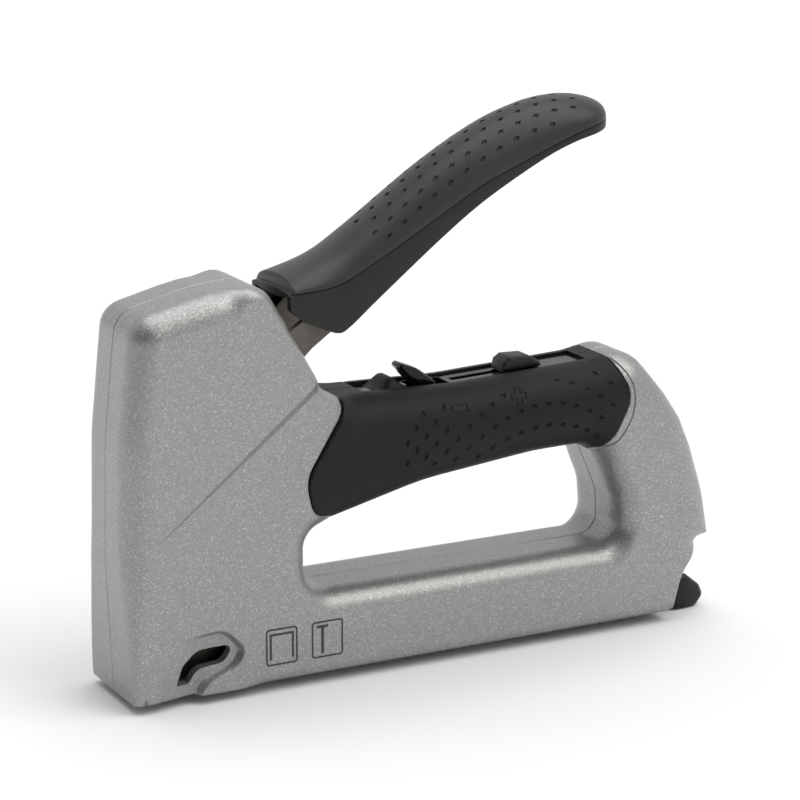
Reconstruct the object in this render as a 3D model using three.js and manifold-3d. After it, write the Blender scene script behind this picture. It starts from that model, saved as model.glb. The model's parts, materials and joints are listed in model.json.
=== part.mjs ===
// Hand tacker: a two-part die-cast body with a hand hole, a spring-driven striker in the nose,
// a top lever that lifts it, and a staple magazine that loads from the rear.
// The design frame has X from the nose to the rear, Y across and Z up, in millimetres, with its
// zero at the foot of the nose. The last lines move it so that the origin is under the middle.
import * as THREE from 'three';
import { mergeVertices } from 'three/addons/utils/BufferGeometryUtils.js';
import Module from 'manifold-3d';

const wasm = await Module();
wasm.setup();

// ---- Driving dimensions ----
const HALF_WIDTH = 16.5; // body, across
const EDGE_IN = 5, EDGE_DEEP = 6; // rounding of the body's long edges, inwards and across
const WALL = 3.2; // casting wall
const GRIP_SKIN = 2.3; // thickness of the rubber grip covers
const GAP = 0.3; // clearance between pieces that touch
const SEAM = 0.15; // half of the gap between the two castings
const JOIN = 0.5; // how far two bodies that become one reach into each other
const RAIL_DROP = 2.6; // how far the magazine stands below the casting
const MIDDLE_X = 94.3; // middle of the length, from the foot of the nose
const AIR = 40; // reaches past the widest piece
const BODY_TOP = 130; // above the whole body
const LEVER_TOP = 190; // above the whole lever

const PIVOT = { x: 42, z: 90, r: 3 }; // lever pivot
const LIFT = { x: 12, z: 78, r: 1.6, half: 10.6 }; // lift pin, which raises the striker
const CHEEK = { inner: 8, outer: 10 }; // lever arm's two cheeks, across
const LEVER_HALF = 12.6; // lever, across
const LEVER_WALL = 2.2;
const LEVER_EDGE = { in: 4, deep: 7 }; // rounding of its ridge
const PAD = { x0: 52.6, thick: 2.5, side: 1 };
const LEVER_PLAN = { x0: 40, round: 143, x1: 157 }; // straight, then a round end
const LEVER_MOUTH = { x0: 40, x1: 60, half: 10.4, z0: 94, z1: 104.6 };
const LEVER_SLOT = { x0: 36, x1: 66, half: 11, z0: 83, z1: 115 }; // opening behind the head
const SLOT_FRONT = [[30, 70, 0], [30, 120, 0], [38, 110.4, 0], [38, 70, 0]]; // casting ahead of it
const PIVOT_BOSS = { r: 6, in: 10.8 };
const PIVOT_REACH = 12.7; // half the pivot pin's length
const BUSH = { inner: PIVOT.r + GAP, outer: 4.7, y0: 7.6, y1: 10.5 };
const RETURN_SPRING = { r: 4.6, length: 12, turns: 6, wire: 0.6 };
const ROLL_PINS = [[68, 104.8], [84, 115.9]];
const ROLL_PIN = { r: 1.2, half: 11.4 };

const BLADE = { x0: 4.9, x1: 5.9, half: 5.3, z0: 0.4, z1: 44 };
const CARRIER = { x0: 6.2, x1: 18.2, base0: 30, base1: 36, bridge: 80.5, top: 83.5 };
const CARRIER_RAIL = { x0: 6.9, in: 5.8, out: 7.4 };
const LIFT_SLOT = { x0: 7.75, x1: 15.4, z0: 75.9, z1: 80.2 }; // room for the lift pin's arc
const SPRING = { x: 12.6, r: 4.2, wire: 0.9, turns: 8 };
const SEAT = { x0: 3.2, x1: 20, half: 5.4, z0: 71.5, z1: 73.8 };
const SEAT_EAR = { x0: 19, x1: 25, half: 12.9, z0: SEAT.z0, z1: SEAT.z1 };
const GUIDE_TOP = 27; // nose plate and blade guide
const NOSE_PLATE = { x0: 3.4, x1: BLADE.x0 - GAP, half: 6.2, z0: -1, z1: GUIDE_TOP };

const MAG = { x0: 7.9, x1: 172, half: 6.4, foot: 5.4, chamfer: 1.2, mouth: 4.2, wall: 0.9, top: 19 };
const MAG_SLOT = { x0: 3.1, x1: 178, top: 19.4 };
const BLADE_GUIDE = { x0: BLADE.x1 + GAP, x1: MAG.x0 - GAP, half: MAG.half, z0: -1, z1: GUIDE_TOP };
const STAPLE_GATE = { x0: 0, x1: 20, half: 5.6, z0: -5, z1: 15 }; // lets a staple under the blade
const PULL_OUT = { x0: 168, x1: 192, half: 5.6, top: 18.2 }; // the pusher's way out at the rear
const BUMPER = { x0: 8.2, x1: 18.2, half: 6.8, z0: MAG.top + 0.7, z1: CARRIER.base0 - GAP };
const CORE = { half: 3.9, wall: 1, foot: -RAIL_DROP + 0.4, top: 12.6, x1: 166 };
const ROD = { z: 15.6, r: 1, x1: 174 };
const FOLLOWER = { x0: 9, x1: 27, half: 5.2, z0: 0.6, z1: 17.8 };
const FEED_SPRING = { x0: FOLLOWER.x1 + 0.8, x1: 169.2, r: 1.75, wire: 0.4, turns: 30 };

const STRIP = { x0: 75, x1: 155.5, half: 5.2, z0: 76.6, z1: 79.8 };
const STRIP_TOP = 90; // above the handle's crest
const SLIDER = { x0: 124, x1: 134, half: 4, neck: 1.9, travel: 20 };
const SLIDER_BUMP = [[126, 81, 0], [132.6, 81, 0], [131, 83.2, 1], [128, 83.2, 1]];
const ROD_SLOT = { x0: 77.6, x1: 135, half: 3.4, z0: 69, z1: 78 }; // under the strip
const HOOK_WELL = { x0: 90, x1: 102, half: 5.4, z0: 66, z1: 78 };
const HOOK_PIN = { x: 96, z: 71.5, r: 1.2, half: 4.8 };
const HOOK_LUG = { x0: 92.4, x1: 99.6, in: 2.9, out: 5, z0: 68 };
const HOOK_HALF = 2.2;
const HOOK_OPENING = { x0: 82.4, x1: 103, half: 2.6 };
const ADJUST_ROD = { x0: 50, x1: SLIDER.x1 - 1, half: 1.9, z0: 61.5, z1: 65 };
const SCREWS = [[33, 105.8], [40, 73], [28, 30], [167, 62], [174, 33]];
const SCREW = { r: 1.5, head: 3.2, neck: 22.2, length: 24, socket: 1, from: -8, post: 3.4, sink: 13.7 };
const NOSE_STEP = 1.5; // depth of the recess round the nose window

// ---- Outlines in the X, Z plane ----
// Corners are [x, z, fillet radius].
const BODY = [
  [0, 0, 0], [-1.5, 38, 90], [-0.6, 72, 90], [3.1, 106.7, 8], [26, 112.4, 60], [41, 113.2, 7],
  [61, 81, 8], [104, 79.8, 80], [148, 81.4, 30], [157, 83.2, 9], [178.4, 59.5, 50],
  [187.6, 35, 50], [190.2, 20.2, 0], [183, 18.9, 6], [176.6, 11, 14], [173.8, 0, 0],
];
const HAND_HOLE = [
  [53.4, 23.7, 8], [155.8, 23.7, 8], [154.6, 38, 12], [147.5, 54.2, 7], [128, 53.8, 60],
  [92, 50, 80], [53.6, 40.8, 5],
];
const GRIP_ZONE = [
  [60, 92, 0], [66.6, 78, 5], [53.2, 57, 12], [54, 47, 4], [60, 38, 0], [140, 38, 0],
  [148, 52, 4], [157.6, 69, 9], [147, 92, 0],
];
const NOSE_ZONE = [
  [7, -2, 0], [7.6, 9, 6], [16, 18, 8], [31, 17.4, 5], [33.6, 9.4, 4], [24, 3.8, 6], [19.4, -2, 0],
];
const WINDOW = [[11.6, 3.6, 1], [15.4, 11, 4], [29.4, 13.6, 3], [29, 8, 3], [18.4, 6.2, 2], [16.2, 3.6, 1]];
const LEVER_RIDGE = [
  [36, 110], [50, 112.8], [64, 117.9], [75.4, 125.1], [97, 140.2], [115, 150.2], [128.5, 154.9],
  [142, 155.9], [154, 153], [166, 146.5],
];
const LEVER_UNDER = [[166, 132], [110, 112], [80, 86], [36, 86]]; // closes the shape below the foot
const LEVER_FOOT = [
  [158, 147.4], [148, 147.2], [139, 145], [128.2, 140.1], [110, 130.3], [95.5, 120.3], [76.1, 105.3],
  [67.4, 98.4], [63.9, 97.1], [58.3, 99.3], [52.8, 102], [48.4, 106],
];
const LEVER_PARTING = [
  [40, 107], [50.7, 109.3], [63.2, 110.6], [74.4, 115.6], [97, 128.1], [108.5, 134.6], [120, 139.4],
  [131.7, 144], [140, 147.8], [150, 150.2], [164, 151],
];
const ARM = [
  [8, 82, 3.6], [8, 74, 3.6], [17, 74, 4], [34, 82.2, 4], [44, 80.6, 6], [52, 88.6, 3], [57, 93.2, 3],
  [63.6, 97.8, 3], [78, 108.6, 0], [93, 119.6, 1], [94.5, 124.6, 1], [76, 114.2, 4], [59.5, 106.4, 3],
  [54.1, 101, 2], [48, 97, 6], [38, 98.6, 5],
];
const ARM_WEB = [[60.4, 104.4], [76.4, 112], [93.4, 122], [93.8, 123.6], [76, 113.6], [60, 105.8]];
const KNOB = [
  [177.4, -2.5, 2], [187, -2.6, 2.4], [190, 0.6, 2], [188.4, 4, 2], [182.8, 8.4, 2], [178.4, 8, 2],
];
const KNOB_HALF = 8.5, KNOB_STEM_HALF = 4.4;
const KNOB_STEM = [[170, 3, 0], [180, 2, 0], [181, 6, 0], [176, 17.6, 1], [170, 17.6, 0]];
const LOCK_HOOK = [
  [86, 83.4, 0.6], [88.2, 85.2, 1.2], [97, 79.6, 4], [101.6, 71.6, 3], [98, 67.4, 2], [91.4, 67.6, 2],
  [89, 74.4, 3], [91.2, 79.4, 2], [88.6, 82, 1.4],
];
const HOOK_LEAF = [[79, 75.4], [82, 72.4], [86, 71], [88.8, 71.6]];
const LEAF = { thick: 0.5, half: 1.8 };

// ---- Finishes ----
const finish = (colour, roughness, metalness) => () =>
  new THREE.MeshStandardMaterial({ color: colour, roughness, metalness });
const silverPaint = finish(0x9c9b97, 0.42, 0.55);
const blackRubber = finish(0x2b2c2a, 0.7, 0);
const blackPlastic = finish(0x3a3b37, 0.5, 0);
const glossPlastic = finish(0x151515, 0.25, 0);
const greyPad = finish(0x4a4d53, 0.6, 0);
const blackSteel = finish(0x35322e, 0.4, 0.8);
const brightSteel = finish(0xb4b2ad, 0.3, 0.9);
const springSteel = finish(0x8c8a86, 0.3, 0.9);

// ---- Solids ----
const ARC_STEP = 0.4; // radians between the points of an arc
const SMALLEST = 0.05; // a fillet below this stays a corner

// The points of an outline moved out by a distance, with its corners filleted.
function rounded(outline, distance = 0) {
  const sharp = outline.map(([x, z]) => new THREE.Vector2(x, z));
  const corners = THREE.ShapeUtils.isClockWise(sharp) ? [...outline].reverse() : outline;
  const moved = grown(corners.map(([x, z]) => new THREE.Vector2(x, z)), distance);
  return moved.flatMap((here, i) => {
    const back = moved.at(i - 1).clone().sub(here);
    const ahead = moved[(i + 1) % moved.length].clone().sub(here);
    const convex = back.cross(ahead) < 0;
    const radius = corners[i][2] && Math.max(0, corners[i][2] + (convex ? distance : -distance));
    return fillet(here, back, ahead, radius);
  });
}

// The arc that rounds one corner of an anticlockwise outline, between its two sides.
function fillet(here, back, ahead, radius) {
  const room = 0.48 * Math.min(back.length(), ahead.length()); // leaves the next arc its half
  const toBack = back.clone().normalize();
  const toAhead = ahead.clone().normalize();
  const halfAngle = Math.acos(toBack.dot(toAhead)) / 2;
  const reach = Math.min(radius / Math.tan(halfAngle), room);
  if (reach < SMALLEST) return [here];
  const start = here.clone().addScaledVector(toBack, reach);
  const turn = (2 * halfAngle - Math.PI) * Math.sign(toBack.cross(toAhead));
  const inwards = toBack.add(toAhead).normalize();
  const middle = here.clone().addScaledVector(inwards, reach / Math.cos(halfAngle));
  const steps = Math.max(2, Math.round(Math.abs(turn) / ARC_STEP));
  return Array.from({ length: steps + 1 },
    (_, k) => start.clone().rotateAround(middle, turn * k / steps));
}

// The points of a smooth open line.
function smooth(points, divisions) {
  return new THREE.SplineCurve(points.map(([x, z]) => new THREE.Vector2(x, z))).getPoints(divisions);
}

// A closed outline moved by a distance: outwards if it is positive, with mitred corners.
function grown(points, distance) {
  const turn = THREE.ShapeUtils.isClockWise(points) ? -1 : 1;
  return points.map((here, i) => {
    const before = here.clone().sub(points.at(i - 1)).normalize();
    const after = points[(i + 1) % points.length].clone().sub(here).normalize();
    const across = new THREE.Vector2(before.y + after.y, -before.x - after.x).multiplyScalar(turn);
    return here.clone().addScaledVector(across, distance / (1 + before.dot(after)));
  });
}

function solid(geometry) {
  const bare = geometry.clone();
  bare.deleteAttribute('normal');
  bare.deleteAttribute('uv');
  const merged = mergeVertices(bare, 1e-4);
  return new wasm.Manifold(new wasm.Mesh({
    numProp: 3,
    vertProperties: merged.attributes.position.array,
    triVerts: new Uint32Array(merged.index.array),
  }));
}

// An outline in X, Z, extruded across between two places, in either order.
function plate(points, y0, y1) {
  const shape = new THREE.Shape(points);
  const geometry = new THREE.ExtrudeGeometry(shape, { depth: Math.abs(y1 - y0), bevelEnabled: false });
  return solid(geometry.rotateX(Math.PI / 2).translate(0, Math.max(y0, y1), 0));
}

// An outline in X, Z, as wide as halfWidth each side of the middle, with rounded long edges.
function crowned(points, halfWidth, edgeIn, edgeDeep, steps, hole) {
  const shape = new THREE.Shape(points);
  if (hole) shape.holes.push(new THREE.Path(hole));
  const geometry = new THREE.ExtrudeGeometry(shape, {
    depth: 2 * (halfWidth - edgeDeep), bevelEnabled: true, bevelThickness: edgeDeep,
    bevelSize: edgeIn, bevelOffset: -edgeIn, bevelSegments: steps,
  });
  return solid(geometry.rotateX(Math.PI / 2).translate(0, halfWidth - edgeDeep, 0));
}

function block(x0, x1, y0, y1, z0, z1) {
  const geometry = new THREE.BoxGeometry(x1 - x0, y1 - y0, z1 - z0);
  return solid(geometry.translate((x0 + x1) / 2, (y0 + y1) / 2, (z0 + z1) / 2));
}

// A block that is even about the middle plane, from a named size.
function slab({ x0, x1, half, z0, z1 }) {
  return block(x0, x1, -half, half, z0, z1);
}

// A round bar across, from y0 to y1.
function crossBar(x, z, radius, y0, y1, sides = 16) {
  const geometry = new THREE.CylinderGeometry(radius, radius, y1 - y0, sides);
  return solid(geometry.translate(x, (y0 + y1) / 2, z));
}

// A round bar along X.
function longBar(x0, x1, y, z, radius, sides = 12) {
  const geometry = new THREE.CylinderGeometry(radius, radius, x1 - x0, sides).rotateZ(Math.PI / 2);
  return solid(geometry.translate((x0 + x1) / 2, y, z));
}

// A coil of round wire on the Z axis, from z = 0 to its length.
class Helix extends THREE.Curve {
  constructor(radius, length, turns) {
    super();
    Object.assign(this, { radius, length, turns });
  }

  getPoint(t, target = new THREE.Vector3()) {
    const angle = 2 * Math.PI * this.turns * t;
    return target.set(this.radius * Math.cos(angle), this.radius * Math.sin(angle), this.length * t);
  }
}

function coil(radius, length, turns, wire, stepsPerTurn = 10, sides = 6) {
  const section = new THREE.Shape();
  section.absarc(0, 0, wire, 0, 2 * Math.PI);
  const ring = new THREE.Shape(section.getPoints(sides / 2).slice(0, -1));
  return new THREE.ExtrudeGeometry(ring, {
    steps: Math.round(turns * stepsPerTurn), extrudePath: new Helix(radius, length, turns),
  });
}

const assembly = new THREE.Group();
assembly.position.set(-MIDDLE_X, 0, RAIL_DROP);

// Adds one named piece to the assembly.
function piece(name, body, material) {
  const mesh = body.getMesh();
  const geometry = new THREE.BufferGeometry();
  geometry.setAttribute('position', new THREE.BufferAttribute(mesh.vertProperties, 3));
  geometry.setIndex(new THREE.BufferAttribute(mesh.triVerts, 1));
  const made = new THREE.Mesh(geometry, material());
  made.name = name;
  assembly.add(made);
}

// ---- Die-cast body and rubber grip ----
const whole = crowned(rounded(BODY), HALF_WIDTH, EDGE_IN, EDGE_DEEP, 3, rounded(HAND_HOLE));

// The body's shape with every surface moved in by a distance, for what lies under the grip covers.
function underBody(distance) {
  return crowned(rounded(BODY, -distance), HALF_WIDTH - distance, 3.5, 4, 2, rounded(HAND_HOLE, distance));
}

// The hollow inside walls of a given thickness.
function hollow(wall) {
  const halfWidth = HALF_WIDTH - wall;
  const hub = plate(rounded(HAND_HOLE, wall), -AIR, AIR);
  return plate(rounded(BODY, -wall), -halfWidth, halfWidth).subtract(hub);
}

const stripRecess = block(STRIP.x0 - GAP, STRIP.x1 + GAP, -STRIP.half - GAP, STRIP.half + GAP,
  STRIP.z0 - GAP, STRIP_TOP);
const gripCover = plate(rounded(GRIP_ZONE), -AIR, AIR).intersect(whole)
  .subtract(underBody(GRIP_SKIN)).subtract(stripRecess);

function castings() {
  const gripRoom = plate(rounded(GRIP_ZONE, GAP), -AIR, AIR);
  const underGrip = gripRoom.subtract(underBody(GRIP_SKIN + GAP));
  const inside = hollow(WALL).subtract(gripRoom).add(hollow(WALL + GRIP_SKIN));
  let both = whole.subtract(underGrip).subtract(inside).subtract(stripRecess);
  const inner = HALF_WIDTH - WALL + JOIN;
  for (const [y0, y1] of [[-inner, -PIVOT_BOSS.in], [PIVOT_BOSS.in, inner]]) {
    both = both.add(crossBar(PIVOT.x, PIVOT.z, PIVOT_BOSS.r, y0, y1));
  }
  for (const [x, z] of SCREWS) both = both.add(crossBar(x, z, SCREW.post, -inner, inner));
  return both.subtract(castingCuts());
}

// Slots, windows and bores through both castings.
function castingCuts() {
  const { x0, x1, top } = MAG_SLOT;
  const slots = [
    slab(LEVER_SLOT).subtract(plate(rounded(SLOT_FRONT), -AIR, AIR)),
    block(x0, x1, -MAG.half - GAP, MAG.half + GAP, -AIR, top),
    block(PULL_OUT.x0, PULL_OUT.x1, -PULL_OUT.half, PULL_OUT.half, -AIR, PULL_OUT.top),
    slab(ROD_SLOT),
    slab(HOOK_WELL),
    crossBar(PIVOT.x, PIVOT.z, PIVOT.r + GAP, -PIVOT_REACH - GAP, PIVOT_REACH + GAP),
    plate(rounded(NOSE_ZONE), NOSE_STEP - HALF_WIDTH, -AIR),
    plate(rounded(NOSE_ZONE), HALF_WIDTH - NOSE_STEP, AIR),
    plate(rounded(WINDOW), -AIR, AIR),
  ];
  const bores = SCREWS.flatMap(([x, z]) => [
    crossBar(x, z, SCREW.r + GAP, SCREW.from - GAP, AIR, 12),
    crossBar(x, z, SCREW.head + GAP, SCREW.sink, AIR),
  ]);
  return [...slots, ...bores].reduce((cuts, next) => cuts.add(next));
}

// One casting's share of a body: the left is the side of negative Y.
function side(body, which) {
  const [y0, y1] = which < 0 ? [-SEAM, AIR] : [-AIR, SEAM];
  return body.subtract(block(-AIR, 2 * MIDDLE_X + AIR, y0, y1, -AIR, BODY_TOP));
}

const bothCastings = castings();
piece('housing_left', side(bothCastings, -1), silverPaint);
piece('housing_right', side(bothCastings, 1), silverPaint);
piece('grip_cover_left', side(gripCover, -1), blackRubber);
piece('grip_cover_right', side(gripCover, 1), blackRubber);

SCREWS.forEach(([x, z], i) => {
  const { r, head, neck, length, socket, from } = SCREW;
  const profile = [
    [0, 0], [r, 0], [r, neck], [head, neck], [head, length], [socket, length + 0.4], [0, length - 0.6],
  ];
  const screw = new THREE.LatheGeometry(profile.map(([across, y]) => new THREE.Vector2(across, y)), 12);
  piece(`housing_screw_${i + 1}`, solid(screw.translate(x, from, z)), blackSteel);
});

// ---- Lever ----
// The lever's full shape, moved by dx, dz, from its ridge down past its foot.
function leverShape(halfWidth, dx, dz) {
  const ridge = smooth(LEVER_RIDGE, 20);
  const under = LEVER_UNDER.map(([x, z]) => new THREE.Vector2(x, z));
  const line = [...ridge, ...under].map((p) => p.clone().add(new THREE.Vector2(dx, dz)));
  return crowned(line, halfWidth, LEVER_EDGE.in, Math.min(LEVER_EDGE.deep, halfWidth - 2), 3);
}

// Everything above a line, as a slab across.
function above(line) {
  const top = [new THREE.Vector2(line.at(-1).x, LEVER_TOP), new THREE.Vector2(line[0].x, LEVER_TOP)];
  return plate([...line, ...top], -AIR, AIR);
}

// The lever seen from above: straight sides and a round end.
function leverPlan() {
  const { x0, round, x1 } = LEVER_PLAN;
  const plan = new THREE.Shape();
  plan.moveTo(x0, -LEVER_HALF).lineTo(round, -LEVER_HALF);
  plan.bezierCurveTo(x1 - 4, -LEVER_HALF, x1, -7, x1, 0);
  plan.bezierCurveTo(x1, 7, x1 - 4, LEVER_HALF, round, LEVER_HALF);
  plan.lineTo(x0, LEVER_HALF);
  return solid(new THREE.ExtrudeGeometry(plan, {
    depth: LEVER_TOP, bevelEnabled: false, curveSegments: 6,
  }));
}

// The part of a lever shape that stands behind the pad's front edge.
function behindLip(halfWidth, drop) {
  const { x0 } = PAD;
  return leverShape(halfWidth, -drop, -drop).intersect(block(x0, LEVER_TOP, -AIR, AIR, 0, LEVER_TOP));
}

function leverCovers() {
  const foot = [new THREE.Vector2(45.6, 114), ...smooth([...LEVER_FOOT].reverse(), 24)];
  const shape = leverShape(LEVER_HALF, 0, 0).intersect(leverPlan()).intersect(above(foot));
  const parting = smooth(LEVER_PARTING, 20);
  const padFoot = parting.map((p) => p.clone().add(new THREE.Vector2(0, GAP)));
  const pad = shape.intersect(above(padFoot)).subtract(behindLip(LEVER_HALF - PAD.side, PAD.thick));
  const crown = behindLip(LEVER_HALF - PAD.side - GAP, PAD.thick + GAP).intersect(shape);
  const inside = behindLip(LEVER_HALF - LEVER_WALL, PAD.thick + LEVER_WALL + GAP).add(slab(LEVER_MOUTH));
  let shell = shape.subtract(above(parting)).add(crown).subtract(inside);
  for (const [x, z] of ROLL_PINS) {
    const reach = ROLL_PIN.half + GAP;
    shell = shell.subtract(crossBar(x, z, ROLL_PIN.r + GAP, -reach, reach));
  }
  return { pad, shell };
}

const { pad, shell } = leverCovers();
piece('lever_shell', shell, blackPlastic);
piece('lever_pad', pad, greyPad);

// Two cheeks joined by a web, with the bores for the bushes, the lift pin and the roll pins.
function leverArm() {
  const line = rounded(ARM);
  const web = ARM_WEB.map(([x, z]) => new THREE.Vector2(x, z));
  const body = plate(line, -CHEEK.outer, -CHEEK.inner)
    .add(plate(line, CHEEK.inner, CHEEK.outer))
    .add(plate(web, -CHEEK.inner - JOIN, CHEEK.inner + JOIN));
  const bores = [[PIVOT.x, PIVOT.z, BUSH.outer], [LIFT.x, LIFT.z, LIFT.r],
    ...ROLL_PINS.map(([x, z]) => [x, z, ROLL_PIN.r])];
  return bores.reduce((arm, [x, z, r]) => arm.subtract(crossBar(x, z, r + GAP, -AIR, AIR)), body);
}

piece('lever_arm', leverArm(), blackSteel);
piece('lift_pin', crossBar(LIFT.x, LIFT.z, LIFT.r, -LIFT.half, LIFT.half), brightSteel);
ROLL_PINS.forEach(([x, z], i) => {
  const pin = crossBar(x, z, ROLL_PIN.r, -ROLL_PIN.half, ROLL_PIN.half);
  piece(`lever_roll_pin_${['front', 'rear'][i]}`, pin, brightSteel);
});
for (const [name, y0, y1] of [['left', -BUSH.y1, -BUSH.y0], ['right', BUSH.y0, BUSH.y1]]) {
  const bush = crossBar(PIVOT.x, PIVOT.z, BUSH.outer, y0, y1, 20)
    .subtract(crossBar(PIVOT.x, PIVOT.z, BUSH.inner, y0 - 1, y1 + 1, 20));
  piece(`lever_bush_${name}`, bush, brightSteel);
}
const pivotPin = crossBar(PIVOT.x, PIVOT.z, PIVOT.r, -PIVOT_REACH, PIVOT_REACH, 20);
piece('lever_pivot_pin', pivotPin, brightSteel);

function returnSpring() {
  const { r, length, turns, wire } = RETURN_SPRING;
  const along = coil(r, length, turns, wire, 9, 6).translate(0, 0, -length / 2);
  return solid(along.rotateX(Math.PI / 2).translate(PIVOT.x, 0, PIVOT.z));
}

piece('lever_return_spring', returnSpring(), springSteel);

// ---- Striker in the nose ----
piece('striker_blade', slab(BLADE), brightSteel);

// A base block under the main spring, and two rails up to a bridge that the lift pin raises.
function carrier() {
  const { x0, x1, base0, base1, bridge, top } = CARRIER;
  const rail = CARRIER_RAIL;
  const made = block(x0, x1, -rail.out, rail.out, base0, base1)
    .add(block(rail.x0, x1, -rail.out, -rail.in, base0, top))
    .add(block(rail.x0, x1, rail.in, rail.out, base0, top))
    .add(block(rail.x0, x1, -rail.out, rail.out, bridge, top));
  return made.subtract(slab({ ...LIFT_SLOT, half: AIR }));
}

piece('striker_carrier', carrier(), blackSteel);
const springFoot = CARRIER.base1 + GAP + SPRING.wire;
const springLength = SEAT.z0 - GAP - SPRING.wire - springFoot;
const mainCoil = coil(SPRING.r, springLength, SPRING.turns, SPRING.wire);
piece('main_spring', solid(mainCoil.translate(SPRING.x, 0, springFoot)), springSteel);
piece('spring_seat', slab(SEAT).add(slab(SEAT_EAR)), blackSteel);
piece('bumper', slab(BUMPER), blackRubber);
piece('nose_plate', slab(NOSE_PLATE), brightSteel);
piece('blade_guide', slab(BLADE_GUIDE).subtract(slab(STAPLE_GATE)), blackSteel);

// ---- Magazine ----
// A folded steel channel, open below along its middle.
function channel() {
  const { half, foot, chamfer, mouth, wall, top, x0, x1 } = MAG;
  const side = [[foot, -RAIL_DROP], [half, -RAIL_DROP + chamfer], [half, top]];
  const inside = [[mouth, -AIR], [mouth, -RAIL_DROP + wall], [half - wall, -RAIL_DROP + wall],
    [half - wall, top - wall]];
  return alongX(mirrored(side), x0, x1).subtract(alongX(mirrored(inside), x0 - 1, x1 + 1));
}

// The strip that staples straddle: an upside-down U.
function core() {
  const { half, wall, foot, top, x1 } = CORE;
  const side = [[half - wall, top - wall], [half - wall, foot], [half, foot], [half, top]];
  return alongX(mirrored(side), MAG.x0 + GAP, x1);
}

// A section in Y, Z that is even about the middle plane, from its right side.
function mirrored(side) {
  return [...[...side].reverse().map(([y, z]) => [-y, z]), ...side];
}

// A section in Y, Z, extruded along X.
function alongX(section, x0, x1) {
  const shape = new THREE.Shape(section.map(([y, z]) => new THREE.Vector2(y, z)));
  const geometry = new THREE.ExtrudeGeometry(shape, { depth: x1 - x0, bevelEnabled: false });
  geometry.applyMatrix4(new THREE.Matrix4().set(0, 0, 1, x0, 1, 0, 0, 0, 0, 1, 0, 0, 0, 0, 0, 1));
  return solid(geometry);
}

piece('magazine_channel', channel(), blackSteel);
piece('magazine_core', core(), brightSteel);

// A block that runs in the channel, astride the core and round the rod.
function follower() {
  const { x0, x1 } = FOLLOWER;
  const overCore = block(x0 - 1, x1 + 1, -CORE.half - GAP, CORE.half + GAP, -AIR, CORE.top + GAP);
  return slab(FOLLOWER).subtract(overCore).subtract(longBar(x0 - 1, x1 + 1, 0, ROD.z, ROD.r + GAP));
}

piece('feed_follower', follower(), blackPlastic);
piece('pusher_rod', longBar(FOLLOWER.x0 - 0.5, ROD.x1, 0, ROD.z, ROD.r), brightSteel);

function feedSpring() {
  const { x0, x1, r, wire, turns } = FEED_SPRING;
  return solid(coil(r, x1 - x0, turns, wire, 7, 4).rotateY(Math.PI / 2).translate(x0, 0, ROD.z));
}

piece('pusher_spring', feedSpring(), springSteel);

function knob() {
  const grip = crowned(rounded(KNOB), KNOB_HALF, 0.8, 1.2, 1);
  const stem = plate(rounded(KNOB_STEM), -KNOB_STEM_HALF, KNOB_STEM_HALF);
  return grip.add(stem).subtract(longBar(ROD.x1 - 9, ROD.x1 + 0.4, 0, ROD.z, ROD.r + GAP));
}

piece('pusher_knob', knob(), blackPlastic);

// ---- Adjuster and lock hook on top of the handle ----
function track() {
  const { x0, x1, in: near, out: far, z0 } = HOOK_LUG;
  const slot = { x0: SLIDER.x0 - SLIDER.travel + 1.5, x1: SLIDER.x1 - 1.5, half: SLIDER.neck + 0.4 };
  return slab(STRIP)
    .add(block(x0, x1, -far, -near, z0, STRIP.z0 + 1))
    .add(block(x0, x1, near, far, z0, STRIP.z0 + 1))
    .subtract(slab({ ...HOOK_OPENING, z0: 0, z1: STRIP_TOP }))
    .subtract(slab({ ...slot, z0: 0, z1: STRIP_TOP }))
    .subtract(crossBar(HOOK_PIN.x, HOOK_PIN.z, HOOK_PIN.r + GAP, -AIR, AIR));
}

piece('adjuster_track', track(), glossPlastic);
const hookPin = crossBar(HOOK_PIN.x, HOOK_PIN.z, HOOK_PIN.r, -HOOK_PIN.half, HOOK_PIN.half);
piece('hook_pin', hookPin, brightSteel);
piece('lock_hook', plate(rounded(LOCK_HOOK), -HOOK_HALF, HOOK_HALF)
  .subtract(crossBar(HOOK_PIN.x, HOOK_PIN.z, HOOK_PIN.r + GAP, -AIR, AIR)), glossPlastic);

function leaf() {
  const line = smooth(HOOK_LEAF, 6);
  const back = line.map((p) => p.clone().add(new THREE.Vector2(0, -LEAF.thick))).reverse();
  return plate([...line, ...back], -LEAF.half, LEAF.half);
}

piece('hook_spring', leaf(), springSteel);

// A thumb slide on top of the strip, with a neck down through its slot.
function slider() {
  const { x0, x1, half, neck } = SLIDER;
  return block(x0, x1, -half, half, STRIP.z1 + GAP, STRIP.z1 + 1.6)
    .add(plate(rounded(SLIDER_BUMP), 1 - half, half - 1))
    .add(block(x0 + 2.2, x1 - 2.2, -neck, neck, ADJUST_ROD.z1 + GAP, STRIP.z1 + 1));
}

piece('power_slider', slider(), blackPlastic);
piece('adjuster_rod', slab(ADJUST_ROD), brightSteel);

const part = new THREE.Group();
part.add(assembly);
export default part;
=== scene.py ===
"""Looks of a hand tacker: a die-cast body with a rubber grip, a top lever and a staple magazine.

Shapes are drawn in a design frame in millimetres: X from the nose to the rear, Y across, Z up from the
foot of the casting. build() moves them by SHIFT to the row frame, in metres.
"""

import json
import math

import bpy
import numpy as np
from mathutils import Matrix, Vector
from mathutils.geometry import delaunay_2d_cdt


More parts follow.
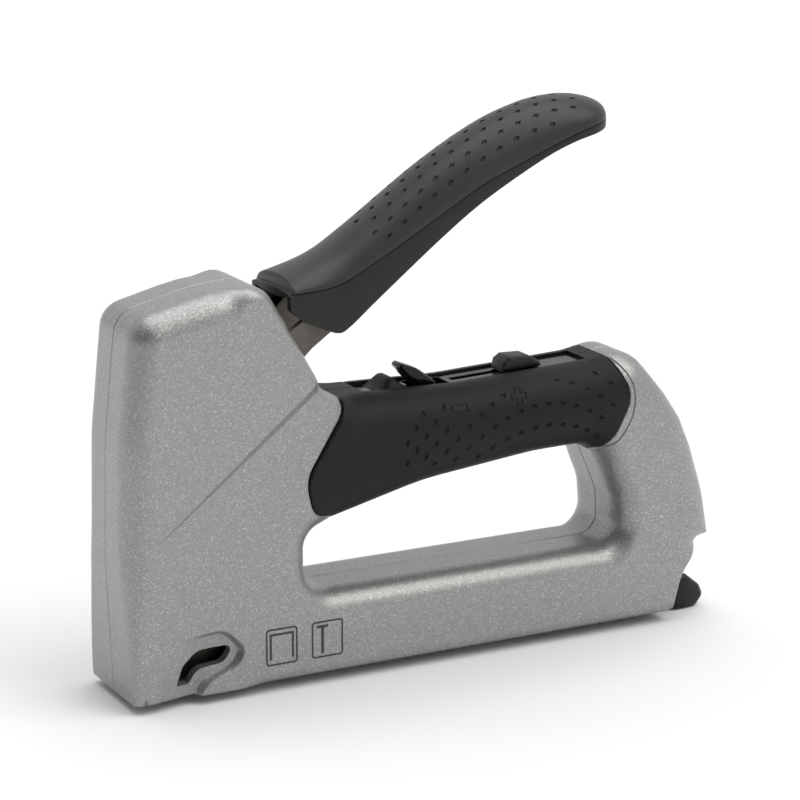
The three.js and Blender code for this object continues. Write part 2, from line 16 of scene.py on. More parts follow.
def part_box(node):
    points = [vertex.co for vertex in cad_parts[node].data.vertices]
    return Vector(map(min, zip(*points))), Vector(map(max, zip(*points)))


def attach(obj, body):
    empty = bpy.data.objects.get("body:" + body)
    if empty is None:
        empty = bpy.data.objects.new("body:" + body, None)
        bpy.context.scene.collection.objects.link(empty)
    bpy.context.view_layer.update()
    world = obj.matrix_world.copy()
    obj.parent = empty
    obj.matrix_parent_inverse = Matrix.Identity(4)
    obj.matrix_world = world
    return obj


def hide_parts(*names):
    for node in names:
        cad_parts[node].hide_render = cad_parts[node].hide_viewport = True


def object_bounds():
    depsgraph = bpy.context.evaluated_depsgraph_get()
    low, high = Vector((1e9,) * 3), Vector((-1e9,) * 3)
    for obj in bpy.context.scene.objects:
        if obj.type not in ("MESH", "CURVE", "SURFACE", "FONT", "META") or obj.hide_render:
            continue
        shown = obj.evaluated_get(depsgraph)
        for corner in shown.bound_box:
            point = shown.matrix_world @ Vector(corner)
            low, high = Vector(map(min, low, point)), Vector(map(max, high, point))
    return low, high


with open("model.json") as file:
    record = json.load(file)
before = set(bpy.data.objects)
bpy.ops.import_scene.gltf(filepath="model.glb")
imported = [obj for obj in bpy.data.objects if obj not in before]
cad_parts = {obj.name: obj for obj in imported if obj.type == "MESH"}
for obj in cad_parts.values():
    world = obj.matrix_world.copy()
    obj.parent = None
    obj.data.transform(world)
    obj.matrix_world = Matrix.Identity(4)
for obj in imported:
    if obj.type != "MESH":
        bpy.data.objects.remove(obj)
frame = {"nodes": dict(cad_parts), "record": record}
cad_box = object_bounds()

MM = 0.001
REAR_TIP = 190.2  # the casting's rearmost point in the design frame
casting_low, casting_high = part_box("housing_left")
SHIFT = np.array([casting_high.x / MM - REAR_TIP, 0.0, casting_low.z / MM])  # to the row frame, in mm

HALF = 16.5  # half the body's width
SEAM = 0.06  # half of the gap between the two castings
WALL = 3.2  # casting wall
SKIN = 2.3  # rubber grip
GAP = 0.3  # between the rubber and the casting under it

# Outlines seen from the side: corners of [x, z, radius].
BODY = [
    [0, 0, 0], [-1.5, 38, 90], [-0.6, 72, 90], [3.1, 106.7, 8], [26, 112.4, 60], [41, 113.2, 7],
    [61, 78.2, 8], [104, 77.1, 80], [148, 79, 30], [160, 81.4, 12], [178, 59.8, 50],
    [185.7, 36, 50], [188.3, 21.4, 0], [182.2, 20, 6], [176, 11.6, 14], [173, 0, 0],
]
HAND_HOLE = [
    [53.4, 23.7, 8], [155.8, 23.7, 8], [154.6, 38, 12], [147.5, 54.2, 7], [128, 53.8, 60],
    [92, 50, 80], [53.6, 40.8, 5],
]
GRIP_ZONE = [
    [60, 92, 0], [66.2, 78.4, 5], [52.4, 57.4, 10], [54.4, 47.2, 5], [61.4, 45.6, 1.5], [63.4, 38, 0],
    [140, 38, 0], [148, 52, 4], [157.2, 69, 9], [147, 92, 0],
]
NOSE_ZONE = [
    [6.4, -2, 0], [6.6, 8, 5], [14, 18.3, 7], [27, 18.6, 7], [34, 11.6, 4], [30.5, 6.6, 6], [20.6, 2.4, 5],
    [19.2, -2, 0],
]
WINDOW = [
    [12.2, 3.9, 0.6], [14, 9.6, 3.5], [18.5, 13.4, 5], [30.6, 12.9, 1.8], [27.2, 8.1, 3.5], [18.8, 7.5, 4],
    [16.2, 3.9, 0.8],
]
LEVER_SLOT = [[38, 83, 0], [66, 83, 0], [66, 120, 0], [41, 120, 0], [41, 111, 0], [38, 108, 0]]
LEVER_SLOT_HALF = 11.0
MAGAZINE_SLOT = [[3.1, -3, 0], [192, -3, 0], [192, 19.4, 0], [3.1, 19.4, 0]]
MAGAZINE_SLOT_HALF = 6.7
STRIP_SLOT = [[74.7, 72.6, 0], [147.6, 72.6, 0], [147.6, 92, 0], [74.7, 92, 0]]
STRIP_SLOT_HALF = 5.5
CREASE = np.array([[3.6, 42.5], [55.2, 84.4]])  # the bevel on the side, from the nose up to the grip
# The line of [x, z] points along the rear band of the casting, beside the grip.
BAND_GROOVE = [[149.4, 82.8], [153.6, 79.2], [156.6, 74.8], [158, 70.3], [157.8, 65.7], [156.4, 61.4],
               [154, 57.8], [151.4, 55.2], [148.6, 53.4]]


# ---- Camera ----
AZIMUTH, ELEVATION = math.radians(-27.5), math.radians(14.75)
LENS, SENSOR = 130.5, 36
CAMERA_DISTANCE = 0.8261
AIM = (-0.0044, -0.0049)  # the picture's middle, right and up from the box's middle


def make_camera():
    middle = (cad_box[0] + cad_box[1]) / 2
    flat = math.cos(ELEVATION)
    back = Vector((math.sin(AZIMUTH) * flat, -math.cos(AZIMUTH) * flat, math.sin(ELEVATION)))
    right = Vector((math.cos(AZIMUTH), math.sin(AZIMUTH), 0))
    up = back.cross(right)
    data = bpy.data.cameras.new("camera")
    data.lens, data.sensor_width = LENS, SENSOR
    camera = bpy.data.objects.new("camera", data)
    turn = Matrix((right, up, back)).transposed().to_4x4()
    camera.matrix_world = Matrix.Translation(
        middle + back * CAMERA_DISTANCE + right * AIM[0] + up * AIM[1]) @ turn
    bpy.context.scene.collection.objects.link(camera)
    bpy.context.scene.camera = camera


make_camera()


# ---- Materials ----
class Nodes:
    """A node tree and short ways to add nodes to it."""

    def __init__(self, tree):
        self.tree = tree

    def feed(self, socket, value):
        """Gives a socket a link or a plain value."""
        if isinstance(value, bpy.types.NodeSocket):
            self.tree.links.new(value, socket)
        else:
            socket.default_value = value

    def add(self, kind, inputs=None, **settings):
        node = self.tree.nodes.new(kind)
        for key, value in settings.items():
            setattr(node, key, value)
        for key, value in (inputs or {}).items():
            self.feed(node.inputs[key], value)
        return node

    def noise(self, at, scale, detail=2.0, roughness=0.5):
        settings = {"Vector": at, "Scale": scale, "Detail": detail, "Roughness": roughness}
        return self.add("ShaderNodeTexNoise", settings).outputs["Fac"]

    def ramp(self, factor, *stops):
        node = self.add("ShaderNodeValToRGB", {"Fac": factor})
        elements = node.color_ramp.elements
        while len(elements) < len(stops):
            elements.new(1.0)
        for element, (position, colour) in zip(elements, stops):
            element.position = position
            element.color = (*colour, 1)
        return node.outputs["Color"]

    def spread(self, factor, low, high):
        settings = {"Value": factor, "To Min": low, "To Max": high}
        return self.add("ShaderNodeMapRange", settings).outputs["Result"]

    def bump(self, height, strength, distance):
        settings = {"Height": height, "Strength": strength, "Distance": distance}
        return self.add("ShaderNodeBump", settings).outputs["Normal"]


class Recipe(Nodes):
    """A material with one Principled shader."""

    def __init__(self, name, **sockets):
        self.material = bpy.data.materials.new(name)
        self.material.use_nodes = True
        super().__init__(self.material.node_tree)
        self.shader = self.tree.nodes["Principled BSDF"]
        for socket, value in sockets.items():
            self.set(socket.replace("_", " "), value)

    def set(self, socket, value):
        self.feed(self.shader.inputs[socket], value)

    def coordinates(self):
        return self.add("ShaderNodeTexCoord").outputs["Object"]


FLAKES, FINE_FLAKES = 3600.0, 6900.0  # flakes to the metre
FLAKE_TILT = 0.12


def silver_paint():
    """Metal-flake paint: every flake has its own tilt and a tone that differs at random; the brightest
    flakes are painted glints.
    """
    made = Recipe("silver_paint", Metallic=0.62, Roughness=0.36)
    at = made.coordinates()
    flakes = made.add("ShaderNodeTexVoronoi", {"Vector": at, "Scale": FLAKES}).outputs["Color"]
    fine = made.add("ShaderNodeTexVoronoi", {"Vector": at, "Scale": FINE_FLAKES}).outputs["Color"]
    both = made.add("ShaderNodeVectorMath", {0: flakes, 1: fine}, operation="ADD").outputs["Vector"]
    centred = made.add("ShaderNodeVectorMath", {0: both, 1: (1.0, 1.0, 1.0)}, operation="SUBTRACT")
    tilt = made.add("ShaderNodeVectorMath", {0: centred.outputs["Vector"], 3: FLAKE_TILT}, operation="SCALE")
    orange_peel = made.bump(made.noise(at, 420.0, 3.0), 0.1, 0.0003)
    tilted = made.add("ShaderNodeVectorMath", {0: orange_peel, 1: tilt.outputs["Vector"]}, operation="ADD")
    normal = made.add("ShaderNodeVectorMath", {0: tilted.outputs["Vector"]}, operation="NORMALIZE")
    made.set("Normal", normal.outputs["Vector"])
    one = made.add("ShaderNodeSeparateColor", {"Color": flakes}).outputs["Red"]
    # Random flake tone up to 0.92; above that the ramp paints glints, flakes lit bright under any lamp.
    flake_tone_and_glints = made.ramp(one, (0.0, (0.285, 0.282, 0.272)), (0.6, (0.325, 0.321, 0.310)),
                     (0.92, (0.37, 0.366, 0.354)), (1.0, (0.56, 0.555, 0.54)))
    made.set("Base Color", flake_tone_and_glints)
    return made.material


def rubber(name, dark, light, roughness, shine):
    """Soft-touch rubber: dusty, with a fine spark-eroded grain."""
    made = Recipe(name, Specular_IOR_Level=shine, Sheen_Weight=0.02)
    at = made.coordinates()
    cloud = made.noise(at, 55.0, 4.0, 0.6)
    grain = made.noise(at, 2600.0, 3.0, 0.6)
    made.set("Base Color", made.ramp(cloud, (0.3, dark), (0.7, light)))
    made.set("Roughness", made.spread(grain, roughness - 0.07, roughness + 0.09))
    made.set("Normal", made.bump(grain, 0.22, 0.00012))
    return made.material


def moulded_plastic(name, dark, light, roughness, grain_depth):
    """Hard plastic with the faint grain of its mould, in metres deep."""
    made = Recipe(name, IOR=1.47, Specular_IOR_Level=0.33)
    at = made.coordinates()
    cloud = made.noise(at, 40.0, 3.0, 0.55)
    grain = made.noise(at, 1900.0, 2.0, 0.5)
    made.set("Base Color", made.ramp(cloud, (0.3, dark), (0.72, light)))
    made.set("Roughness", made.spread(cloud, roughness - 0.04, roughness + 0.06))
    made.set("Normal", made.bump(grain, 0.2, grain_depth))
    return made.material


def steel(name, dark, light, roughness, stretch):
    """Drawn or rolled steel: fine lines along one direction and cloudy tarnish."""
    made = Recipe(name, Metallic=0.92)
    at = made.coordinates()
    drawn = made.add("ShaderNodeMapping", {"Vector": at, "Scale": stretch}).outputs["Vector"]
    lines = made.noise(drawn, 900.0, 3.0, 0.6)
    tarnish = made.noise(at, 90.0, 5.0, 0.62)
    made.set("Base Color", made.ramp(tarnish, (0.32, dark), (0.7, light)))
    made.set("Roughness", made.spread(lines, roughness - 0.1, roughness + 0.14))
    made.set("Normal", made.bump(lines, 0.15, 0.00006))
    return made.material


def ink():
    """Dark, slightly patchy pad printing."""
    made = Recipe("printed_ink", Roughness=0.5)
    patchy = made.noise(made.coordinates(), 1500.0, 3.0, 0.6)
    made.set("Base Color", made.ramp(patchy, (0.3, (0.030, 0.028, 0.026)), (0.75, (0.052, 0.049, 0.046))))
    return made.material


MATERIALS = {
    "silver_casting": silver_paint(),
    "grip_rubber": rubber("grip_rubber", (0.0085, 0.009, 0.0085), (0.012, 0.0125, 0.0115), 0.5, 0.2),
    "lever_pad": rubber("lever_pad", (0.0165, 0.018, 0.0205), (0.0215, 0.0235, 0.027), 0.38, 0.42),
    "lever_plastic": moulded_plastic("lever_plastic", (0.0125, 0.013, 0.0105), (0.017, 0.0178, 0.015), 0.42,
                                     0.00008),
    "gloss_plastic": moulded_plastic("gloss_plastic", (0.003, 0.003, 0.003), (0.006, 0.006, 0.006), 0.17,
                                     0.00002),
    "dark_steel": steel("dark_steel", (0.085, 0.077, 0.066), (0.15, 0.138, 0.12), 0.42, (0.15, 1, 1)),
    "bright_steel": steel("bright_steel", (0.36, 0.35, 0.33), (0.52, 0.51, 0.49), 0.32, (1, 1, 0.12)),
    "spring_steel": steel("spring_steel", (0.26, 0.25, 0.235), (0.40, 0.39, 0.37), 0.3, (1, 1, 1)),
}
INK = ink()


# ---- Outlines ----
def unit(v):
    return v / np.linalg.norm(v, axis=-1, keepdims=True)


def cross(a, b):
    return a[..., 0] * b[..., 1] - a[..., 1] * b[..., 0]


def anticlockwise(corners):
    c = np.array(corners, float)
    ahead = np.roll(c, -1, 0)
    return c if (c[:, 0] * ahead[:, 1] - ahead[:, 0] * c[:, 1]).sum() > 0 else c[::-1]


def grown(points, distance):
    """An anticlockwise outline moved out by a distance, with mitred corners."""
    before = unit(points - np.roll(points, 1, 0))
    after = unit(np.roll(points, -1, 0) - points)
    across = np.stack([before[:, 1] + after[:, 1], -before[:, 0] - after[:, 0]], 1)
    return points + across * (distance / (1 + (before * after).sum(1)))[:, None]


def divided(points, spacing, closed=True):
    """The same line with points no further apart than spacing."""
    ends = np.roll(points, -1, 0) if closed else points[1:]
    out = []
    for a, b in zip(points, ends):
        n = max(1, math.ceil(np.linalg.norm(b - a) / spacing))
        out += [a + (b - a) * k / n for k in range(n)]
    return np.array(out if closed else out + [points[-1]])


def rounded(corners, distance=0.0, spacing=1.8, arc_step=0.17):
    """An outline of [x, z, radius] corners, moved out by a distance, with arcs at its corners."""
    c = anticlockwise(corners)
    p = grown(c[:, :2], distance)
    out = []
    for i, here in enumerate(p):
        back, ahead = p[i - 1] - here, p[(i + 1) % len(p)] - here
        side = 1 if cross(-back, ahead) > 0 else -1
        radius = c[i, 2] and max(0.0, c[i, 2] + side * distance)
        room = 0.48 * min(np.linalg.norm(back), np.linalg.norm(ahead))
        back, ahead = unit(back), unit(ahead)
        half = math.acos(max(-1.0, min(1.0, float(back @ ahead)))) / 2
        reach = min(radius / math.tan(half), room)
        if reach < 0.05:
            out.append(here)
            continue
        middle = here + unit(back + ahead) * reach / math.cos(half)
        arm = here + back * reach - middle
        turn = side * (math.pi - 2 * half)
        steps = max(2, round(abs(turn) / arc_step))
        for k in range(steps + 1):
            cos, sin = math.cos(turn * k / steps), math.sin(turn * k / steps)
            out.append(middle + [arm[0] * cos - arm[1] * sin, arm[0] * sin + arm[1] * cos])
    return divided(np.array(out), spacing)


def smooth(points, spacing=1.5):
    """A Catmull-Rom line through points."""
    p = np.array(points, float)
    p = np.vstack([2 * p[0] - p[1], p, 2 * p[-1] - p[-2]])
    out = []
    for a, b, c, d in zip(p, p[1:], p[2:], p[3:]):
        n = max(2, math.ceil(np.linalg.norm(c - b) / spacing))
        for t in np.arange(n) / n:
            out.append(0.5 * (2 * b + (c - a) * t + (2 * a - 5 * b + 4 * c - d) * t * t
                              + (3 * b - a - 3 * c + d) * t ** 3))
    return np.array(out + [p[-2]])


def inside(q, loop):
    """Which points lie inside a closed outline."""
    a, b = loop, np.roll(loop, -1, 0)
    rise = np.where(b[:, 1] == a[:, 1], 1.0, b[:, 1] - a[:, 1])
    result = np.zeros(len(q), bool)
    for i in range(0, len(q), 4000):
        x, z = q[i:i + 4000, 0, None], q[i:i + 4000, 1, None]
        spans = (a[:, 1] > z) != (b[:, 1] > z)
        at = a[:, 0] + (z - a[:, 1]) * (b[:, 0] - a[:, 0]) / rise
        result[i:i + 4000] = (spans & (x < at)).sum(1) % 2 == 1
    return result


def reach_to(q, starts, ends):
    """Distance from each point to the nearest of some straight pieces."""
    along = ends - starts
    length2 = np.maximum((along ** 2).sum(1), 1e-12)
    result = np.empty(len(q))
    for i in range(0, len(q), 3000):
        v = q[i:i + 3000, None] - starts
        t = np.clip((v * along).sum(-1) / length2, 0, 1)
        result[i:i + 3000] = np.sqrt(((v - t[..., None] * along) ** 2).sum(-1)).min(1)
    return result


def pieces_of(loop, closed=True):
    """The starts and ends of a line's straight pieces."""
    return (loop, np.roll(loop, -1, 0)) if closed else (loop[:-1], loop[1:])


def joint_pieces(loops, lines=()):
    """The straight pieces of several closed and open lines together."""
    every = [pieces_of(l) for l in loops] + [pieces_of(l, False) for l in lines]
    return np.vstack([a for a, _ in every]), np.vstack([b for _, b in every])


def ease(value, low, high):
    """0 below low, 1 above high, and a smooth step between."""
    t = np.clip((value - low) / (high - low), 0, 1)
    return t * t * (3 - 2 * t)


def mix(a, b, t):
    return a + (b - a) * t


# ---- The body's outer surface: half-width as a function of x and z ----
body_line = rounded(BODY)
hole_line = rounded(HAND_HOLE)


def chains():
    """The body's outlines, split where the rounding of their edges changes suddenly."""
    a, b = pieces_of(body_line)
    middle = (a + b) / 2
    foot = middle[:, 1] < 0.05
    notch = (middle[:, 0] > 173) & (middle[:, 1] < 20.25) & ~foot
    outer = ~foot & ~notch
    return {"outer": (a[outer], b[outer]), "foot": (a[foot], b[foot]), "notch": (a[notch], b[notch]),
            "hole": pieces_of(hole_line)}


CHAINS = chains()
OUTLINES = (np.vstack([a for a, _ in CHAINS.values()]), np.vstack([b for _, b in CHAINS.values()]))


# How far the rounding of an edge reaches in, and how deep it goes across.
FOOT_FRONT_EDGE, FOOT_EDGE, NOTCH_EDGE = np.array([0.9, 0.9]), np.array([3.6, 3.6]), np.array([1.3, 1.3])
NOSE_EDGE, FRONT_EDGE, HEAD_EDGE = np.array([1.5, 1.5]), np.array([7.6, 8.2]), np.array([3.6, 4.4])
HANDLE_EDGE, REAR_EDGE = np.array([13.0, 10.6]), np.array([8.5, 9.0])
HOLE_FOOT_EDGE, HOLE_TOP_EDGE = np.array([7.5, 8.0]), np.array([12.0, 11.5])
HOLE_REAR_EDGE, HOLE_FRONT_EDGE = np.array([7.0, 9.0]), np.array([8.0, 8.0])


def edge_rounding(name, q):
    """The reach and the depth of an outline's rounding near each point."""
    x, z = q[:, :1], q[:, 1:]
    if name == "notch":
        edge = NOTCH_EDGE + 0 * x
    elif name == "foot":
        edge = mix(FOOT_FRONT_EDGE, FOOT_EDGE, ease(x, 30, 42))
    elif name == "hole":
        edge = mix(HOLE_FOOT_EDGE, HOLE_TOP_EDGE, ease(z, 26, 42))
        edge = mix(edge, HOLE_REAR_EDGE, ease(x, 146, 154))
        edge = mix(edge, HOLE_FRONT_EDGE, 1 - ease(x, 52, 64))
    else:
        edge = mix(NOSE_EDGE, FRONT_EDGE, ease(z, 0, 48))
        edge = mix(edge, HEAD_EDGE, ease(x, 30, 37))
        edge = mix(edge, HANDLE_EDGE, ease(x, 60, 71))
        edge = mix(edge, REAR_EDGE, ease(x, 154, 168))
    return edge[:, 0], edge[:, 1]


def half_width(q, inset=0.0):
    """The half-width of the body, or of the body's shape with every surface moved in by inset."""
    drop = np.zeros(len(q))
    for name, (a, b) in CHAINS.items():
        r, deep = edge_rounding(name, q)
        r, deep = np.maximum(r - inset, 0.6), np.maximum(deep - inset, 0.6)
        u = np.clip(1 - (reach_to(q, a, b) - inset) / r, 0, 1)
        drop += (deep * (1 - np.sqrt(1 - u * u))) ** 3
    return HALF - inset - np.cbrt(drop)


def edge_distance(q):
    return np.min([reach_to(q, a, b) for a, b in CHAINS.values()], 0)


crease_unit = unit(CREASE[1] - CREASE[0])
crease_length = float(np.linalg.norm(CREASE[1] - CREASE[0]))
crease_across = np.array([crease_unit[1], -crease_unit[0]])
CREASE_START_WIDTH, CREASE_GROWTH, CREASE_DEPTH = 0.6, 2.0, 1.75
CREASE_FADE = (4, 34)  # the lower face comes back to the side between these distances


def crease_width(s):
    return CREASE_START_WIDTH + CREASE_GROWTH * np.clip(s, 0, 1)


def crease_drop(q):
    """The bevel that runs up the side from the nose to the grip, and the lower face behind it."""
    from_start = q - CREASE[0]
    s, t = (from_start @ crease_unit) / crease_length, from_start @ crease_across
    width = crease_width(s)
    depth = CREASE_DEPTH * np.clip(s, 0, 1) ** 0.6
    fall = ease(s, -0.02, 0.03) * np.clip(t / width, 0, 1) * (1 - ease(t, *CREASE_FADE))
    return depth * fall


def crease_lines():
    """Mesh lines along the bevel's two edges."""
    s = np.linspace(0.0, 1.02, 34)
    start = CREASE[0] + np.outer(s * crease_length, crease_unit)
    return [start - 0.3 * crease_across, start, start + crease_across * crease_width(s)[:, None],
            start + crease_across * (crease_width(s)[:, None] + 0.35)]


NOSE_WALL = 1.7  # how far in the rounded wall of the nose recess reaches
NOSE_DEPTH = (0.08, 2.5)  # at its front, and what it gains towards its rear
nose_zone = rounded(NOSE_ZONE, 0, 1.2)


def nose_drop(q):
    """The recess round the nose window: almost flush at the front and deepest at the lower rear."""
    depth = NOSE_DEPTH[0] + NOSE_DEPTH[1] * ease(q[:, 0] - 0.6 * q[:, 1], 3, 20)
    d = np.where(inside(q, nose_zone), reach_to(q, *pieces_of(nose_zone)), 0)
    return depth * ease(d, 0.0, NOSE_WALL)


band_groove = smooth(BAND_GROOVE)
BAND_DEPTH, BAND_REACH = 0.45, 0.28


def groove_drop(q):
    return BAND_DEPTH * (1 - ease(reach_to(q, *pieces_of(band_groove, False)), 0.0, BAND_REACH))


def beside(line, distance):
    """A line moved sideways."""
    along = np.gradient(line, axis=0)
    return line + unit(np.stack([along[:, 1], -along[:, 0]], 1)) * distance


# ---- Meshes from triangulated outlines ----
def triangulated(loops, lines, extra):
    """Triangles over the plane that follow some closed and open lines."""
    points, edges = [], []
    for line, closed in [(l, True) for l in loops] + [(l, False) for l in lines]:
        first, n = len(points), len(line)
        points += [Vector(p) for p in line]
        edges += [(first + k, first + (k + 1) % n) for k in range(n if closed else n - 1)]
    points += [Vector(p) for p in extra]
    verts, _, faces, *_ = delaunay_2d_cdt(points, edges, [], 0, 1e-4)
    return np.array([tuple(v) for v in verts]), np.array(faces)


def scattered(loops, lines, spacing, rings):
    """An even grid of points over the lines' box, clear of every line and of the rings of points."""
    starts, ends = joint_pieces(loops, lines)
    low, high = starts.min(0), starts.max(0)
    xs = np.arange(low[0], high[0], spacing)
    zs = np.arange(low[1], high[1], spacing * 0.866)
    grid = np.array([(x + (k % 2) * spacing / 2, z) for k, z in enumerate(zs) for x in xs])
    apart = np.full(len(grid), np.inf)
    for i in range(0, len(rings), 500):
        apart = np.minimum(apart, np.sqrt(((grid[:, None] - rings[None, i:i + 500]) ** 2).sum(-1)).min(1))
    grid = grid[apart > 0.62 * spacing]
    return grid[reach_to(grid, starts, ends) > 0.42 * spacing]


def within(q, triangles, outline, *holes):
    """The triangles that lie inside an outline and outside its holes."""
    centre = q[triangles].mean(1)
    keep = inside(centre, outline)
    for hole in holes:
        keep &= ~inside(centre, hole)
    return triangles[keep]


def open_edges(triangles):
    """The edges that only one triangle has, in that triangle's direction."""
    pairs = np.vstack([triangles[:, [0, 1]], triangles[:, [1, 2]], triangles[:, [2, 0]]]).tolist()
    known = {tuple(pair) for pair in pairs}
    return [(i, j) for i, j in pairs if (j, i) not in known]


def used_only(triangles, *values):
    """The triangles renumbered over the points they use, and those points' values."""
    used = np.unique(triangles)
    renumber = np.full(used[-1] + 1, -1)
    renumber[used] = np.arange(len(used))
    return renumber[triangles], *(v[used] for v in values)


def without_spares(verts, faces):
    """The same solid without the points that no face uses."""
    used = np.zeros(len(verts), bool)
    used[[k for f in faces for k in f]] = True
    renumber = np.cumsum(used) - 1
    return verts[used], [[int(renumber[k]) for k in f] for f in faces]


def between(near, far, triangles):
    """A closed solid from the same triangles on two surfaces."""
    n = len(near)
    faces = triangles.tolist() + (triangles[:, ::-1] + n).tolist()
    faces += [[j, i, i + n, j + n] for i, j in open_edges(triangles)]
    return np.vstack([near, far]), faces


# Turns of the rounding that get a ring of points, in degrees, for edges that reach in up to a distance.
RING_TURNS = [(0, 3, (30, 60, 90)), (3, 30, range(10, 91, 10))]


def ring_points(others):
    """Points along the outlines at the distances that make the rounding smooth."""
    found = []
    for name, (a, b) in CHAINS.items():
        across = unit(np.stack([a[:, 1] - b[:, 1], b[:, 0] - a[:, 0]], 1))
        across = -across if name == "hole" else across
        linked = np.abs(np.roll(b, 1, 0) - a).sum(1, keepdims=True) < 1e-6
        across = unit(across + np.where(linked, np.roll(across, 1, 0), 0))
        r, _ = edge_rounding(name, a)
        for r_low, r_high, angles in RING_TURNS:
            here = (r > r_low) & (r <= r_high)
            for angle in angles:
                far = r[here] * (1 - math.cos(math.radians(angle)))
                q = a[here] + across[here] * far[:, None]
                true = edge_distance(q)
                found.append(q[np.abs(true - far) < 0.04 + 0.03 * far])
    found = np.vstack(found)
    return found[reach_to(found, *others) > 0.22]


def build(name, verts, faces, material, body, smooth_angle=28.0, normals=None):
    """A mesh object from millimetre points in the design frame. Normals are one for each face corner;
    a zero leaves that corner to the mesh."""
    mesh = bpy.data.meshes.new(name)
    mesh.from_pydata(((np.asarray(verts) + SHIFT) * MM).tolist(), [], faces)
    mesh.polygons.foreach_set("use_smooth", [True] * len(mesh.polygons))
    mesh.validate()
    mesh.set_sharp_from_angle(angle=math.radians(smooth_angle))
    if normals is not None and len(normals) == len(mesh.loops):
        mesh.normals_split_custom_set(normals)
    made = bpy.data.objects.new(name, mesh)
    bpy.context.scene.collection.objects.link(made)
    made.data.materials.append(material)
    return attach(made, body)


NORMAL_STEP = 0.02  # for the slope of a surface
SMOOTH_RIM = 1.9  # two unit vectors across a rim add up to more than this where it has no corner


def side_normals(q, surface, side, features):
    """Normals of a side surface given as a half-width; zero on its hard lines."""
    dx, dz = np.array([NORMAL_STEP, 0]), np.array([0, NORMAL_STEP])
    slope_x = (surface(q + dx) - surface(q - dx)) / (2 * NORMAL_STEP)
    slope_z = (surface(q + dz) - surface(q - dz)) / (2 * NORMAL_STEP)
    normals = unit(np.stack([-slope_x, 0 * slope_x + side, -slope_z], 1))
    normals[reach_to(q, *features) < 0.05] = 0
    return normals


def shell_mesh(q, triangles, top, floor, side, inset=0.2, lip=0.2, normals=None):
    """A closed solid between two half-widths over a triangulated plane, on one side of the middle.
    Returns its points, its faces and the normals of their corners."""
    own = np.zeros((len(q), 3)) if normals is None else normals
    triangles, q, top, floor, own = used_only(triangles, q, top, floor, own)
    n = len(q)
    rim = open_edges(triangles)
    inward = np.zeros((n, 2))
    for i, j in rim:
        v = q[j] - q[i]
        normal = np.array([-v[1], v[0]]) / max(np.hypot(*v), 1e-9)
        inward[i] += normal
        inward[j] += normal
    size = np.linalg.norm(inward, axis=1, keepdims=True)
    inward = np.where(size > 1e-6, inward / np.maximum(size, 1e-6), 0)
    on_outline = reach_to(q, *OUTLINES)[:, None] < 0.01
    flat = np.stack([-inward[:, 0], 0 * inward[:, 0], -inward[:, 1]], 1) * (on_outline & (size > SMOOTH_RIM))
    own = np.where(on_outline, flat, own)
    room = np.maximum(top - floor, 0.02)
    step = np.minimum(lip, 0.3 * room)
    moved = q + inward * np.minimum(inset, 0.3 * room)[:, None]

    def at(points, width):
        return np.stack([points[:, 0], side * width, points[:, 1]], 1)

    verts = np.vstack([at(q, top), at(q, floor + step), at(moved, floor)])
    faces = triangles.tolist() + (triangles[:, ::-1] + 2 * n).tolist()
    wanted = [own[t] for t in triangles] + [np.zeros((3, 3))] * len(triangles)
    for i, j in rim:
        faces += [[j, i, i + n, j + n], [j + n, i + n, i + 2 * n, j + 2 * n]]
        wanted += [flat[[j, i, i, j]], np.zeros((4, 3))]
    if side > 0:
        faces = [f[::-1] for f in faces]
        wanted = [w[::-1] for w in wanted]
    return *without_spares(verts, faces), np.vstack(wanted).tolist()


def in_grip(q, distance):
    return inside(q, rounded(GRIP_ZONE, distance))


SLOT_STEP = 0.08  # a slot's walls lean in by this much
SLOT_SPACING = 3.0


def slot_lines(corners):
    """A slot's mouth and the foot of its walls."""
    return [rounded(corners, -shrink, SLOT_SPACING) for shrink in (0.0, SLOT_STEP)]


def slot_floor(q, floor, corners, half):
    """Raises the inner surface to clear a slot across the middle."""
    cut = inside(q, rounded(corners, 0.02 - SLOT_STEP))
    return np.where(cut, np.maximum(floor, half), floor)


SLOTS = [(LEVER_SLOT, LEVER_SLOT_HALF), (MAGAZINE_SLOT, MAGAZINE_SLOT_HALF), (STRIP_SLOT, STRIP_SLOT_HALF)]
SCREWS = [[33, 105.8], [40, 73], [28, 30], [167, 62], [174, 33]]
SCREW_BORE = 3.5
GRIP_LIP = (0.22, 0.25)  # width and depth of the step along the grip
CASTING_SPACING, GRIP_SPACING = 2.6, 2.2
THINNEST_CASTING, THINNEST_RUBBER = 0.25, 0.12


def circle(x, z, r, steps=28):
    turn = np.arange(steps) * 2 * math.pi / steps
    return np.stack([x + r * np.cos(turn), z + r * np.sin(turn)], 1)


